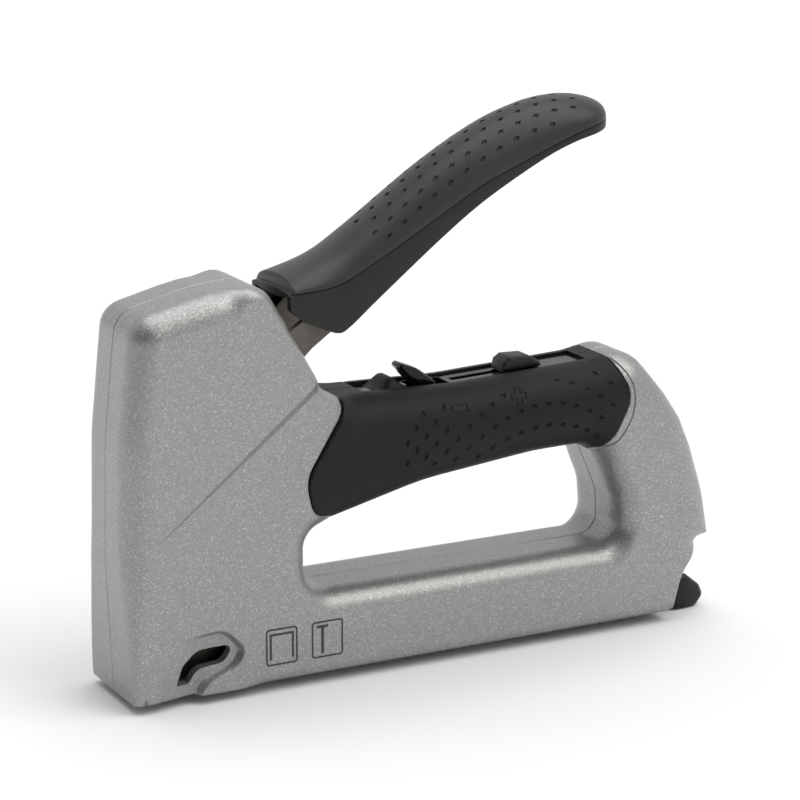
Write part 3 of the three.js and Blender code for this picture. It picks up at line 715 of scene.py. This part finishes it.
def housing(side, name, node):
    """One casting: a hollow shell with its slots, window, crease and nose recess."""
    bores = [circle(x, z, SCREW_BORE) for x, z in SCREWS] if side > 0 else []
    window = rounded(WINDOW, 0, 1.0)
    under_body, under_hole = rounded(BODY, -SKIN - GAP), rounded(HAND_HOLE, SKIN + GAP)
    slots = [line for corners, _ in SLOTS for line in slot_lines(corners)]
    grip_border = rounded(GRIP_ZONE, GAP)
    grip_lines = [grip_border, rounded(GRIP_ZONE, GAP + GRIP_LIP[0]), rounded(GRIP_ZONE, 0.12)]
    nose_lines = [rounded(NOSE_ZONE, -share * NOSE_WALL, 1.2) for share in (0, 0.25, 0.5, 0.75, 1)]
    loops = [body_line, hole_line, window, *nose_lines, *grip_lines, under_body, under_hole, *slots, *bores]
    groove = [beside(band_groove, d) for d in (0, BAND_REACH, -BAND_REACH)]
    lines = crease_lines() + groove
    rings = ring_points(joint_pieces(loops[2:], lines))
    grid = scattered(loops, lines, CASTING_SPACING, rings)
    q, triangles = triangulated(loops, lines, np.vstack([rings, grid]))

    triangles = within(q, triangles, body_line, hole_line, window, *bores)
    centre = q[triangles].mean(1)
    under_grip = inside(centre, under_body) & ~inside(centre, under_hole)
    triangles = triangles[under_grip | ~in_grip(centre, 0.2)]

    def surface(p):
        return half_width(p) - crease_drop(p) - nose_drop(p)

    outer = surface(q) - groove_drop(q)
    lip = GRIP_LIP[1] * (1 - ease(reach_to(q, *pieces_of(grip_border)), 0.0, GRIP_LIP[0]))
    hidden = in_grip(q, 0.15)
    outer = np.where(hidden, half_width(q, SKIN + GAP), outer - lip)
    depth = np.where(hidden, edge_distance(q) - SKIN - GAP, edge_distance(q))
    floor = np.where(depth > WALL, outer - WALL, SEAM)
    for corners, half in SLOTS:
        floor = slot_floor(q, floor, corners, half)
    triangles = triangles[(outer - floor)[triangles].min(1) > THINNEST_CASTING]
    normals = side_normals(q, surface, side, joint_pieces(grip_lines, crease_lines()[1:] + groove))
    normals[hidden] = 0
    verts, faces, corners = shell_mesh(q, triangles, outer, floor, side, normals=normals)
    made = build(name, verts, faces, MATERIALS["silver_casting"], "housing", 28.0, corners)
    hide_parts(node)


housing(-1, "casting_left", "housing_left")
housing(1, "casting_right", "housing_right")


# ---- Rubber grip ----
DIMPLE_ROWS = (63.9, 69.9, 75.9, 81.9, 87.9, 93.9)  # heights of the rows' crests
DIMPLE_CREST = 129.0
DIMPLE_FALL = (71.0, 52.0)  # how each row curves down to the front and to the rear
DIMPLE_STEP = 4.6
DIMPLE = (1.3, 0.85, 0.5)  # half length, half height, depth
DIMPLE_FLOOR = 0.45  # its floor, as a share of its mouth
MINUS, PLUS = (100.9, 71.7), (120.2, 72.8)
MINUS_HALF, PLUS_HALF, PLUS_ARM = (2.4, 0.8), (2.3, 2.3), 0.75
SIGN_GROOVE = 0.2  # half width and depth of the groove that draws a sign
RUBBER_LIP = (0.35, 0.32)  # width and depth of the rounding along the grip's border


def diamond(x, z, scale, tilt=0.0):
    """A slanted diamond round (x, z)."""
    long, high, _ = DIMPLE
    shape = np.array([[-long, -0.25 * high], [0.2 * long, -high], [long, 0.25 * high], [-0.2 * long, high]])
    cos, sin = math.cos(tilt), math.sin(tilt)
    turned = np.stack([shape[:, 0] * cos - shape[:, 1] * sin, shape[:, 0] * sin + shape[:, 1] * cos], 1)
    return turned * scale + (x, z)


def dimple_places():
    """Rows that rise from the front, bend over a crest and fall to the rear, clear of the two signs."""
    found = []
    for crest in DIMPLE_ROWS:
        for way, fall in ((-1, DIMPLE_FALL[0]), (1, DIMPLE_FALL[1])):
            x = DIMPLE_CREST + (way < 0) * -DIMPLE_STEP
            while 82 < x < 153:
                d = x - DIMPLE_CREST
                z, slope = crest - d * d / fall, -2 * d / fall
                clear = min(math.dist((x, z), MINUS), math.dist((x, z), PLUS)) > 3.4
                if 57 < z < mix(73.4, 76.4, float(ease(x, 120, 127))) and clear:
                    found.append((x, z, math.atan(slope) * (1.4 if way < 0 else 1)))
                x += way * DIMPLE_STEP / math.hypot(1, slope)
    return found


def sign_outline(x, z, long, high):
    """A bar, or a cross where its two lengths are the same, as an outline round (x, z)."""
    if long != high:
        shape = [[-long, -high], [long, -high], [long, high], [-long, high]]
    else:
        a, b = long, PLUS_ARM
        shape = [[-b, -a], [b, -a], [b, -b], [a, -b], [a, b], [b, b], [b, a], [-b, a], [-b, b], [-a, b],
                 [-a, -b], [-b, -b]]
    return np.array(shape, float) + (x, z)


def grip_cover(side, name, node):
    """A rubber cover that wraps the handle, with rows of dimples and two signs."""
    zone = rounded(GRIP_ZONE)
    borders = [zone, rounded(GRIP_ZONE, -0.12), rounded(GRIP_ZONE, -RUBBER_LIP[0])]
    dimples = np.array(dimple_places())
    at = dimples[:, :2]
    dimples = dimples[inside(at, rounded(GRIP_ZONE, -3)) & (edge_distance(at) > 2.5)]
    pits = [diamond(x, z, 1.0, tilt) for x, z, tilt in dimples]
    floors = [diamond(x, z, DIMPLE_FLOOR, tilt) for x, z, tilt in dimples]
    signs = [sign_outline(*MINUS, *MINUS_HALF), sign_outline(*PLUS, *PLUS_HALF)]
    sides = (-SIGN_GROOVE, 0.0, SIGN_GROOVE)
    grooves = [divided(grown(anticlockwise(s), d), 2.0) for s in signs for d in sides]
    under = [rounded(BODY, -SKIN), rounded(HAND_HOLE, SKIN)]
    loops = [body_line, hole_line, *borders, *under, *slot_lines(STRIP_SLOT), *pits, *floors, *grooves]
    rings = ring_points(joint_pieces(loops[2:]))
    grid = scattered(loops, [], GRIP_SPACING, rings)
    q, triangles = triangulated(loops, [], np.vstack([rings, grid]))
    triangles = within(q, within(q, triangles, zone), body_line, hole_line)

    outer = half_width(q)
    outer -= RUBBER_LIP[1] * (1 - ease(reach_to(q, *pieces_of(zone)), 0.0, RUBBER_LIP[0]))
    for pit_floor in floors:
        outer -= DIMPLE[2] * inside(q, grown(anticlockwise(pit_floor), 0.05))
    near = reach_to(q, *joint_pieces(grooves[1::3]))
    outer -= SIGN_GROOVE * (1 - ease(near, 0.0, SIGN_GROOVE))
    edge = edge_distance(q)
    floor = np.where(edge > SKIN, half_width(q, SKIN), SEAM)
    floor = slot_floor(q, floor, STRIP_SLOT, STRIP_SLOT_HALF)
    triangles = triangles[(outer - floor)[triangles].min(1) > THINNEST_RUBBER]
    hard = joint_pieces([*borders, *pits, *floors, *grooves])
    normals = side_normals(q, half_width, side, hard)
    verts, faces, corners = shell_mesh(q, triangles, outer, floor, side, normals=normals)
    made = build(name, verts, faces, MATERIALS["grip_rubber"], "housing", 34.0, corners)
    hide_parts(node)


grip_cover(-1, "grip_rubber_left", "grip_cover_left")
grip_cover(1, "grip_rubber_right", "grip_cover_right")


# ---- Lever ----
# Lines along the lever, as [x, z] points: its ridge, the pad's edge and the shell's foot.
LEVER_RIDGE = [
    [46, 112.1], [50, 112.8], [64, 117.9], [75.4, 125.1], [97, 140.2], [115, 150.2], [128.5, 154.9],
    [138, 156.3], [145, 156], [150, 154.8], [153.8, 152.8],
]
LEVER_PARTING = [
    [44, 107.7], [50.7, 109.3], [63.2, 110.6], [74.4, 115.6], [97, 128.1], [108.5, 134.6], [120, 139.4],
    [131.7, 144], [140, 147.1], [147, 148.9], [153.8, 150.2],
]
LEVER_FOOT = [
    [47.6, 107], [48.8, 105.4], [52.8, 102], [58.3, 99.3], [63.9, 97.1], [67.4, 98.4], [76.1, 105.3],
    [95.5, 120.3], [110, 130.3], [128.2, 140.1], [139, 144.4], [147, 146.2], [153.8, 147.6],
]
LEVER_HALF, LEVER_WALL = 12.6, 2.2
LEVER_ROUND, LEVER_TIP = 139.0, 153.6
PAD_FRONT, SHELL_FRONT = 50.6, 49.4
PAD_THICK = 2.4
SECTION_POWER = 2.05
EVEN_END, TIP_LENGTH = 136, 17.2  # sections are evenly spaced up to here, and closer over the tip


def height_line(points):
    """A smooth line through [x, z] points, as a function of x."""
    line = smooth(points, 0.8)
    return lambda x: np.interp(x, line[:, 0], line[:, 1])


ridge, parting, foot = height_line(LEVER_RIDGE), height_line(LEVER_PARTING), height_line(LEVER_FOOT)


def tip_steps(count, last):
    """Places over the lever's round end, closer together towards the tip."""
    return LEVER_TIP - TIP_LENGTH * np.linspace(1, last, count) ** 1.6


def lever_width(x):
    """Half-width: even along the lever, and a round end."""
    t = np.clip((x - LEVER_ROUND) / (LEVER_TIP - LEVER_ROUND), 0, 1)
    return LEVER_HALF * (1 - t ** 2.7) ** (1 / 2.3)


def lever_section(x, angle, thick=0.0, side_in=0.0, lift=0.0):
    """A point on the lever's crown: angle 0 is the ridge, and a quarter turn is the parting line."""
    w = np.maximum(lever_width(x) - side_in, 0.02)
    crown = np.maximum(ridge(x) - parting(x) - thick, 0.05)
    sin, cos = np.sin(angle), np.maximum(np.cos(angle), 0)
    power = 2 / SECTION_POWER
    y = w * np.sign(sin) * np.abs(sin) ** power
    return np.stack([x, y, parting(x) + lift + crown * cos ** power], -1)


PAD_SHARES = (0.12, 0.24, 0.36, 0.48, 0.59, 0.69, 0.78, 0.86, 0.92, 0.965)  # mesh points across the pad
PAD_FRONT_SHARES = (0, 0.2, 0.4, 0.6, 0.78, 0.9)
PAD_ROW, PAD_STEP, PAD_DIMPLES_FROM, PAD_ROWS_EACH_SIDE = 4.3, 5.9, 28, 3
PAD_DIMPLE = (0.92, 0.42, 0.5)  # size of its mouth and its floor, and its depth
PAD_LIP = (0.45, 0.35)  # width and depth of the rounding at the pad's front


class FlatPad:
    """The pad laid flat: u runs along the lever's ridge, and v runs across from it."""

    def __init__(self):
        self.x = np.concatenate([np.linspace(PAD_FRONT, EVEN_END, 480), tip_steps(160, 0.0002)])
        steps = np.diff(np.stack([self.x, ridge(self.x)], 1), axis=0)
        self.u = np.concatenate([[0], np.cumsum(np.linalg.norm(steps, axis=1))])
        self.length = self.u[-1]
        angles = np.linspace(0, math.pi / 2, 60)
        arcs = lever_section(self.x[:, None] + 0 * angles, angles[None] + 0 * self.x[:, None])
        self.half = np.linalg.norm(np.diff(arcs, axis=1), axis=2).sum(1)

    def half_at(self, u):
        return np.interp(u, self.u, self.half)

    def on_lever(self, q, **section):
        x = np.interp(q[:, 0], self.u, self.x)
        share = np.clip(q[:, 1] / np.maximum(self.half_at(q[:, 0]), 1e-3), -1, 1)
        return lever_section(x, share * math.pi / 2, **section)

    def normals(self, q):
        du, dv = np.array([NORMAL_STEP, 0]), np.array([0, NORMAL_STEP])
        along = self.on_lever(q + du) - self.on_lever(q - du)
        across = self.on_lever(q + dv) - self.on_lever(q - dv)
        normal = np.cross(along, across)
        normal = normal / np.maximum(np.linalg.norm(normal, axis=1, keepdims=True), 1e-9)
        return normal * np.where(normal[:, 2:] < 0, -1, 1)

    def net(self):
        """The flat pad's border, and mesh points inside it."""
        even, tip = np.arange(0, self.length - 8, 1.6), self.length - 8 * np.linspace(1, 0, 12) ** 1.7
        u = np.unique(np.concatenate([even, tip]))
        half = self.half_at(u)
        border = np.vstack([np.stack([u, -half], 1), np.stack([u, half], 1)[::-1]])
        points = [(a, share * b) for a, b in zip(u[1:-1], half[1:-1])
                  for share in (0, *[s * way for s in PAD_SHARES for way in (1, -1)])]
        points += [(PAD_LIP[0], way * share * half[0]) for share in PAD_FRONT_SHARES for way in (1, -1)]
        return border, np.array(points)

    def dimples(self):
        """Rows along the pad, every other one half a step further, and shorter towards the sides."""
        found = []
        for row in range(-PAD_ROWS_EACH_SIDE, PAD_ROWS_EACH_SIDE + 1):
            out = abs(row)
            for k in range(13 if out == PAD_ROWS_EACH_SIDE else 18):
                u = PAD_DIMPLES_FROM + PAD_STEP * k + (2.9 if row % 2 else 0) + 0.9 * out
                if u < self.length - 7 - 3.2 * out:
                    found.append((u, PAD_ROW * row))
        return found


def crown_solid(name, triangles, outer, inner, normals, slot, node):
    """A closed solid on the lever between an outer and an inner surface over the same triangles."""
    triangles, outer, inner, normals = used_only(triangles, outer, inner, normals)
    n = len(outer)
    a, b, c = (outer[triangles[:, k]] for k in range(3))
    if np.cross(b - a, c - a)[:, 2].sum() < 0:
        triangles = triangles[:, ::-1]
    edge = outer + (inner - outer) * 0.18
    edge[:, 2] -= 0.05
    faces = triangles.tolist() + (triangles[:, ::-1] + 2 * n).tolist()
    for i, j in open_edges(triangles):
        faces += [[j, i, i + n, j + n], [j + n, i + n, i + 2 * n, j + 2 * n]]
    verts, faces = without_spares(np.vstack([outer, edge, inner]), faces)
    corners = normals[triangles].reshape(-1, 3).tolist()
    corners += [[0.0] * 3] * (sum(len(f) for f in faces) - len(corners))
    made = build(name, verts, faces, MATERIALS[slot], "lever", 35.0, corners)
    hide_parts(node)


def lever_pad():
    """The crowned rubber pad on the lever, with rows of dimples."""
    pad = FlatPad()
    border, points = pad.net()
    mouth, floor, deep = PAD_DIMPLE
    pits = [anticlockwise(diamond(u, v, mouth)) for u, v in pad.dimples()]
    floors = [anticlockwise(diamond(u, v, floor)) for u, v in pad.dimples()]
    points = points[reach_to(points, *joint_pieces(pits)) > 0.35]
    q, triangles = triangulated([border, *pits, *floors], [], points)
    triangles = within(q, triangles, border)
    depth = PAD_LIP[1] * (1 - ease(q[:, 0], 0, PAD_LIP[0]))
    for pit_floor in floors:
        depth += deep * inside(q, grown(pit_floor, 0.05))
    normals = pad.normals(q)
    outer = pad.on_lever(q) - normals * depth[:, None]
    inner = pad.on_lever(q, thick=PAD_THICK, side_in=1.1, lift=0.05)
    normals[reach_to(q, *joint_pieces([border, *pits, *floors])) < 0.05] = 0
    crown_solid("lever_cushion", triangles, outer, inner, normals, "lever_pad", "lever_pad")


ARCH = np.linspace(math.pi / 2, -math.pi / 2, 25)
ARCH_POWER = 0.85
PAD_SEAT = 0.18  # the shell's side ends this far below the parting line


def arch(half, low, rise):
    """A full arch across the lever, from one side to the other."""
    return [(half * math.copysign(abs(math.sin(a)) ** ARCH_POWER, math.sin(a)),
             low + rise * max(math.cos(a), 0) ** ARCH_POWER) for a in ARCH]


def across(side, middle):
    """A section from one side, over the middle, to the same side mirrored."""
    return side + middle + [(-y, z) for y, z in side[::-1]]


def shell_section(x):
    """The shell's outer and inner line across the lever at x, as (y, z) points from foot to foot."""
    w, low, top = max(float(lever_width(x)), 0.05), float(foot(x)), float(parting(x))
    rise = float(ridge(x)) - top - PAD_THICK
    fit = min(1.0, w / 3.0)  # makes the small roundings smaller near the tip
    wi = w - LEVER_WALL * fit
    side = [(w - 0.5 * fit, low), (w - 0.12 * fit, low + 0.12), (w, low + 0.5), (w, mix(low, top, 0.5)),
            (w, top - 0.6), (w - 0.1 * fit, top - 0.3), (w - 0.35 * fit, top - PAD_SEAT),
            (w - 1.3 * fit, top - PAD_SEAT)]
    side_in = [(wi + 0.5 * fit, low), (wi + 0.12 * fit, low + 0.12), (wi, low + 0.5)]
    side_in += [(wi, mix(low, top, share)) for share in (0.4, 0.6, 0.8, 0.9)] + [(wi, top - 0.3)]
    side_in = [(y, max(z, low)) for y, z in side_in]
    crown = arch(w - 1.4 * fit, top - PAD_SEAT, max(rise - 0.25, 0.2))
    crown_in = [(y, max(z, low + 0.55)) for y, z in arch(wi, top - 0.3, rise - LEVER_WALL - 0.2)]
    return across(side, crown), across(side_in, crown_in)


def lever_shell():
    """The moulded lever under the pad: an upside-down U that closes at the tip."""
    xs = np.concatenate([np.linspace(SHELL_FRONT, EVEN_END, 90), tip_steps(40, 0.0)[1:]])
    sections = [shell_section(x) for x in xs]
    n, k = len(xs), len(sections[0][0])
    verts = [(x, y, z) for layer in (0, 1) for x, section in zip(xs, sections) for y, z in section[layer]]
    second = n * k
    faces = []
    for i in range(n - 1):
        for j in range(k - 1):
            a, b, c, d = i * k + j, (i + 1) * k + j, (i + 1) * k + j + 1, i * k + j + 1
            faces += [[d, c, b, a], [second + a, second + b, second + c, second + d]]
        for j, flip in ((0, False), (k - 1, True)):
            strip = [i * k + j, (i + 1) * k + j, second + (i + 1) * k + j, second + i * k + j]
            faces.append(strip[::-1] if flip else strip)
    for i, flip in ((0, False), (n - 1, True)):
        for j in range(k - 1):
            cap = [i * k + j, second + i * k + j, second + i * k + j + 1, i * k + j + 1]
            faces.append(cap[::-1] if flip else cap)
    made = build("lever_body", verts, faces, MATERIALS["lever_plastic"], "lever", 35.0)
    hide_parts("lever_shell")


lever_pad()
lever_shell()


# ---- Small moulded pieces ----
def lozenge(name, corners, half, r, slot, body, nodes, rings=3):
    """A solid that is even about the middle plane, with its long edges rounded by r.
    half is its half-width, or a function of the points that gives it."""
    loop = rounded(corners, 0, 0.7, 0.22)
    inner = []
    for k in range(1, rings + 1):
        inset = r * (1 - math.cos(math.pi / 2 * k / rings))
        ring = rounded(corners, -inset, 0.8, 0.25)
        inner.append(ring[reach_to(ring, *pieces_of(loop)) > 0.7 * inset])
    inner = np.vstack(inner)
    inner = inner[inside(inner, loop)]
    grid = scattered([loop], [], 1.1, inner)
    grid = grid[inside(grid, loop)]
    q, triangles = triangulated([loop], [], np.vstack([inner, grid]))
    triangles = within(q, triangles, loop)
    u = np.clip(1 - reach_to(q, *pieces_of(loop)) / r, 0, 1)
    wide = (half(q) if callable(half) else half) - r * (1 - np.sqrt(1 - u * u))
    near, far = np.stack([q[:, 0], -wide, q[:, 1]], 1), np.stack([q[:, 0], wide, q[:, 1]], 1)
    made = build(name, *between(near, far, triangles), MATERIALS[slot], body, 38.0)
    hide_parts(*nodes)


KNOB = [
    [177.4, -2.5, 2], [187, -2.6, 2.4], [190, 0.6, 2.2], [188.4, 4, 2], [182.8, 8.4, 2], [178.4, 8, 2],
]
KNOB_STEM = [[170, 3, 0], [180, 2, 0], [181, 6, 0], [176, 17.6, 1], [170, 17.6, 0]]
LOCK_HOOK = [
    [87.7, 82.5, 0.7], [88.8, 83.5, 0.8], [93.4, 81.8, 8], [99.6, 77.2, 6], [101.2, 73.4, 3], [98.6, 68, 2],
    [93.4, 68, 2], [93.8, 72.6, 2], [94.2, 75.6, 3], [90, 79.6, 6],
]
SLIDER = [
    [120.8, 77.4, 0], [121.4, 80.4, 1], [123.4, 81.7, 1.2], [129.8, 81.5, 1.4], [133.6, 79.2, 1.2],
    [133.6, 77.9, 0],
]
SLIDER_NECK = [[126.4, 65.3, 0], [131.6, 65.3, 0], [131.6, 79, 0], [126.4, 79, 0]]
SADDLE = [
    [77.6, 74, 0], [77.9, 76.2, 2], [81.4, 77.3, 3], [84.4, 81, 1.9], [88, 77.8, 3], [91.2, 76.2, 0],
    [91.2, 74, 0],
]


def knob_width(q):
    """The knob narrows a little towards its rear."""
    return 8.5 - 1.3 * ease(q[:, 0], 181, 191)


def hook_width(q):
    """The hook is broad where the thumb takes it and narrow between its lugs."""
    return mix(2.2, 3.3, ease(q[:, 1], 75.4, 77.4))


def saddle_width(q):
    """The saddle spreads towards its foot."""
    return 5.9 - 1.6 * ease(q[:, 1], 77, 80.5)


def bevelled(made, width):
    """Rounds a piece's hard edges by a width in metres."""
    bevel = made.modifiers.new("edges", "BEVEL")
    bevel.width, bevel.segments = width, 2
    bevel.limit_method, bevel.angle_limit = "ANGLE", math.radians(50)


def plan_plate(name, outlines, top, low, node):
    """A glossy solid from an outline and its holes in the X, Y plane, between two heights that follow X."""
    loops = [divided(anticlockwise(o), 3.0) for o in outlines]
    q, triangles = triangulated(loops, [], np.zeros((0, 2)))
    above, below = np.column_stack([q, top(q[:, 0])]), np.column_stack([q, low(q[:, 0])])
    faces = between(above, below, within(q, triangles, *loops))
    made = build(name, *faces, MATERIALS["gloss_plastic"], "housing", 30.0)
    bevelled(made, 0.0002)
    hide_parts(node)


def rectangle(x0, x1, y0, y1):
    return [[x0, y0], [x1, y0], [x1, y1], [x0, y1]]


STRIP = rectangle(75, 147.4, -5.2, 5.2)
HOOK_SLOT, SLIDER_SLOT = rectangle(91.6, 103.6, -4.2, 4.2), rectangle(105.5, 132.6, -1.4, 1.4)
STRIP_CREST = [[75, 104, 147.4], [76.7, 76.5, 78.2]]  # places along the strip, and their heights
STRIP_THICK = 3.2
LUG_X, LUG_Y, LUG_Z = (92.4, 99.6), (2.9, 5), (68.2, 74.6)


def strip_top(x):
    """The strip lies just below the handle's crest."""
    return np.interp(x, *STRIP_CREST)


def small_pieces():
    lozenge("pusher_grip", KNOB, knob_width, 1.5, "gloss_plastic", "pusher", ["pusher_knob"])
    lozenge("pusher_stem", KNOB_STEM, 4.4, 0.4, "gloss_plastic", "pusher", ["pusher_knob"], 2)
    lozenge("hook", LOCK_HOOK, hook_width, 1.1, "gloss_plastic", "hook", ["lock_hook"])
    lozenge("slider_cap", SLIDER, 4.0, 1.0, "lever_plastic", "adjuster", ["power_slider"])
    lozenge("slider_neck", SLIDER_NECK, 1.0, 0.2, "lever_plastic", "adjuster", ["power_slider"], 1)
    lozenge("grip_saddle", SADDLE, saddle_width, 1.6, "grip_rubber", "housing",
            ["grip_cover_left", "grip_cover_right"])
    plan_plate("adjuster_strip", [STRIP, HOOK_SLOT, SLIDER_SLOT], strip_top,
               lambda x: strip_top(x) - STRIP_THICK, "adjuster_track")
    for side, y0, y1 in (("left", -LUG_Y[1], -LUG_Y[0]), ("right", *LUG_Y)):
        plan_plate("hook_lug_" + side, [rectangle(*LUG_X, y0, y1)], lambda x: 0 * x + LUG_Z[1],
                   lambda x: 0 * x + LUG_Z[0], "adjuster_track")


small_pieces()


# ---- Printed signs: a staple and a nail, each in a rounded frame ----
FRAME_MIDDLES, FRAME_HALF, FRAME_Z, FRAME_CORNER, FRAME_LINE = (43.8, 57.9), 4.9, (5.5, 16.3), 1.1, 0.55
STAPLE = [[40.4, 7.2], [40.4, 14.5], [47.2, 14.5], [47.2, 7.2]]
NAIL, NAIL_HEAD = [[56.4, 6.7], [56.4, 14.6]], [[54.6, 14.7], [58.2, 14.7]]
INK_OUT, INK_IN = 0.03, 0.05  # how far the print stands out of the paint, and how far it reaches in


def stroke(points, width):
    """The outline of a line of some width."""
    line = np.array(points, float)
    steps = unit(np.diff(line, axis=0))
    along = np.vstack([steps[:1], steps[:-1] + steps[1:], steps[-1:]])
    along = along / np.maximum((along * np.vstack([steps[:1], steps])).sum(1), 0.5)[:, None]
    across = np.stack([-along[:, 1], along[:, 0]], 1) * width / 2
    return anticlockwise(np.vstack([line + across, (line - across)[::-1]]))


def sign_prints():
    """All the signs as one thin printed layer on the near casting."""
    marks = []
    for x in FRAME_MIDDLES:
        low, high = FRAME_Z
        frame_line = [[x + side * FRAME_HALF, z, FRAME_CORNER]
                      for side, z in ((-1, low), (1, low), (1, high), (-1, high))]
        marks.append([rounded(frame_line, 0, 1.2), rounded(frame_line, -FRAME_LINE, 1.2)])
    for line, width in ((STAPLE, 0.7), (NAIL, 0.9), (NAIL_HEAD, 0.8)):
        marks.append([divided(stroke(line, width), 1.2)])
    verts, faces = [], []
    for loops in marks:
        q, triangles = triangulated(loops, [], np.zeros((0, 2)))
        paint = half_width(q) - crease_drop(q)
        flat = within(q, triangles, *loops)
        v, f, _ = shell_mesh(q, flat, paint + INK_OUT, paint - INK_IN, -1, 0.0, 0.02)
        faces += [[len(verts) + k for k in face] for face in f]
        verts += v.tolist()
    build("printed_signs", verts, faces, INK, "housing")


sign_prints()


# ---- CAD nodes that keep their shape ----
def dress_cad_nodes():
    """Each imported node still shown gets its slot's material and a fine bevel on its hard edges."""
    slots = {part["node"]: part["material_slot"] for part in frame["record"]["subparts"]}
    for node, made in frame["nodes"].items():
        if made.hide_render:
            continue
        made.data.materials.clear()
        made.data.materials.append(MATERIALS[slots[node]])
        bevelled(made, 0.00015)


dress_cad_nodes()


# ---- Floor and studio light ----
def make_floor():
    """Plain pale paper under the object."""
    size = 6.0
    verts = [(-size, -size, 0), (size, -size, 0), (size, size, 0), (-size, size, 0)]
    mesh = bpy.data.meshes.new("floor")
    mesh.from_pydata(verts, [], [(0, 1, 2, 3)])
    floor = bpy.data.objects.new("floor", mesh)
    bpy.context.scene.collection.objects.link(floor)
    paper = Recipe("floor_paper", Roughness=0.9)
    paper.set("Specular IOR Level", 0.1)
    cloud = paper.noise(paper.coordinates(), 3.0, 2.0)
    paper.set("Base Color", paper.ramp(cloud, (0.2, (0.93, 0.93, 0.93)), (0.8, (0.95, 0.95, 0.95))))
    mesh.materials.append(paper.material)


def sun(name, towards, angle, strength, colour):
    """A large soft lamp in the direction "towards"."""
    data = bpy.data.lights.new(name, "SUN")
    data.angle, data.energy, data.color = math.radians(angle), strength, colour
    light = bpy.data.objects.new(name, data)
    light.rotation_euler = Vector(towards).to_track_quat("Z", "Y").to_euler()
    bpy.context.scene.collection.objects.link(light)


BRIGHT, DARK = (0.8, 0.8, 0.81), (0.05, 0.05, 0.052)
DARK_SIDE = (-0.86, -0.5, 0.1)  # the studio is dark on this side, so that the nose's front is shaded


def make_light():
    """An even pale studio with one dark side, a soft key lamp and a soft top lamp."""
    world = bpy.data.worlds.new("studio")
    world.use_nodes = True
    studio = Nodes(world.node_tree)
    background = studio.tree.nodes["Background"]
    direction = studio.add("ShaderNodeTexCoord").outputs["Generated"]
    towards = studio.add("ShaderNodeVectorMath", {0: direction, 1: DARK_SIDE}, operation="DOT_PRODUCT")
    shade = studio.ramp(towards.outputs["Value"], (0.3, BRIGHT), (0.88, DARK))
    studio.feed(background.inputs["Color"], shade)
    background.inputs["Strength"].default_value = 1.0
    bpy.context.scene.world = world
    sun("key", (0.42, -0.45, 0.79), 40, 0.78, (1.0, 0.995, 0.98))
    sun("top", (0.08, 0.1, 0.99), 48, 0.95, (0.95, 0.975, 1.0))
    bpy.context.scene.view_settings.view_transform = "Standard"


make_floor()
make_light()
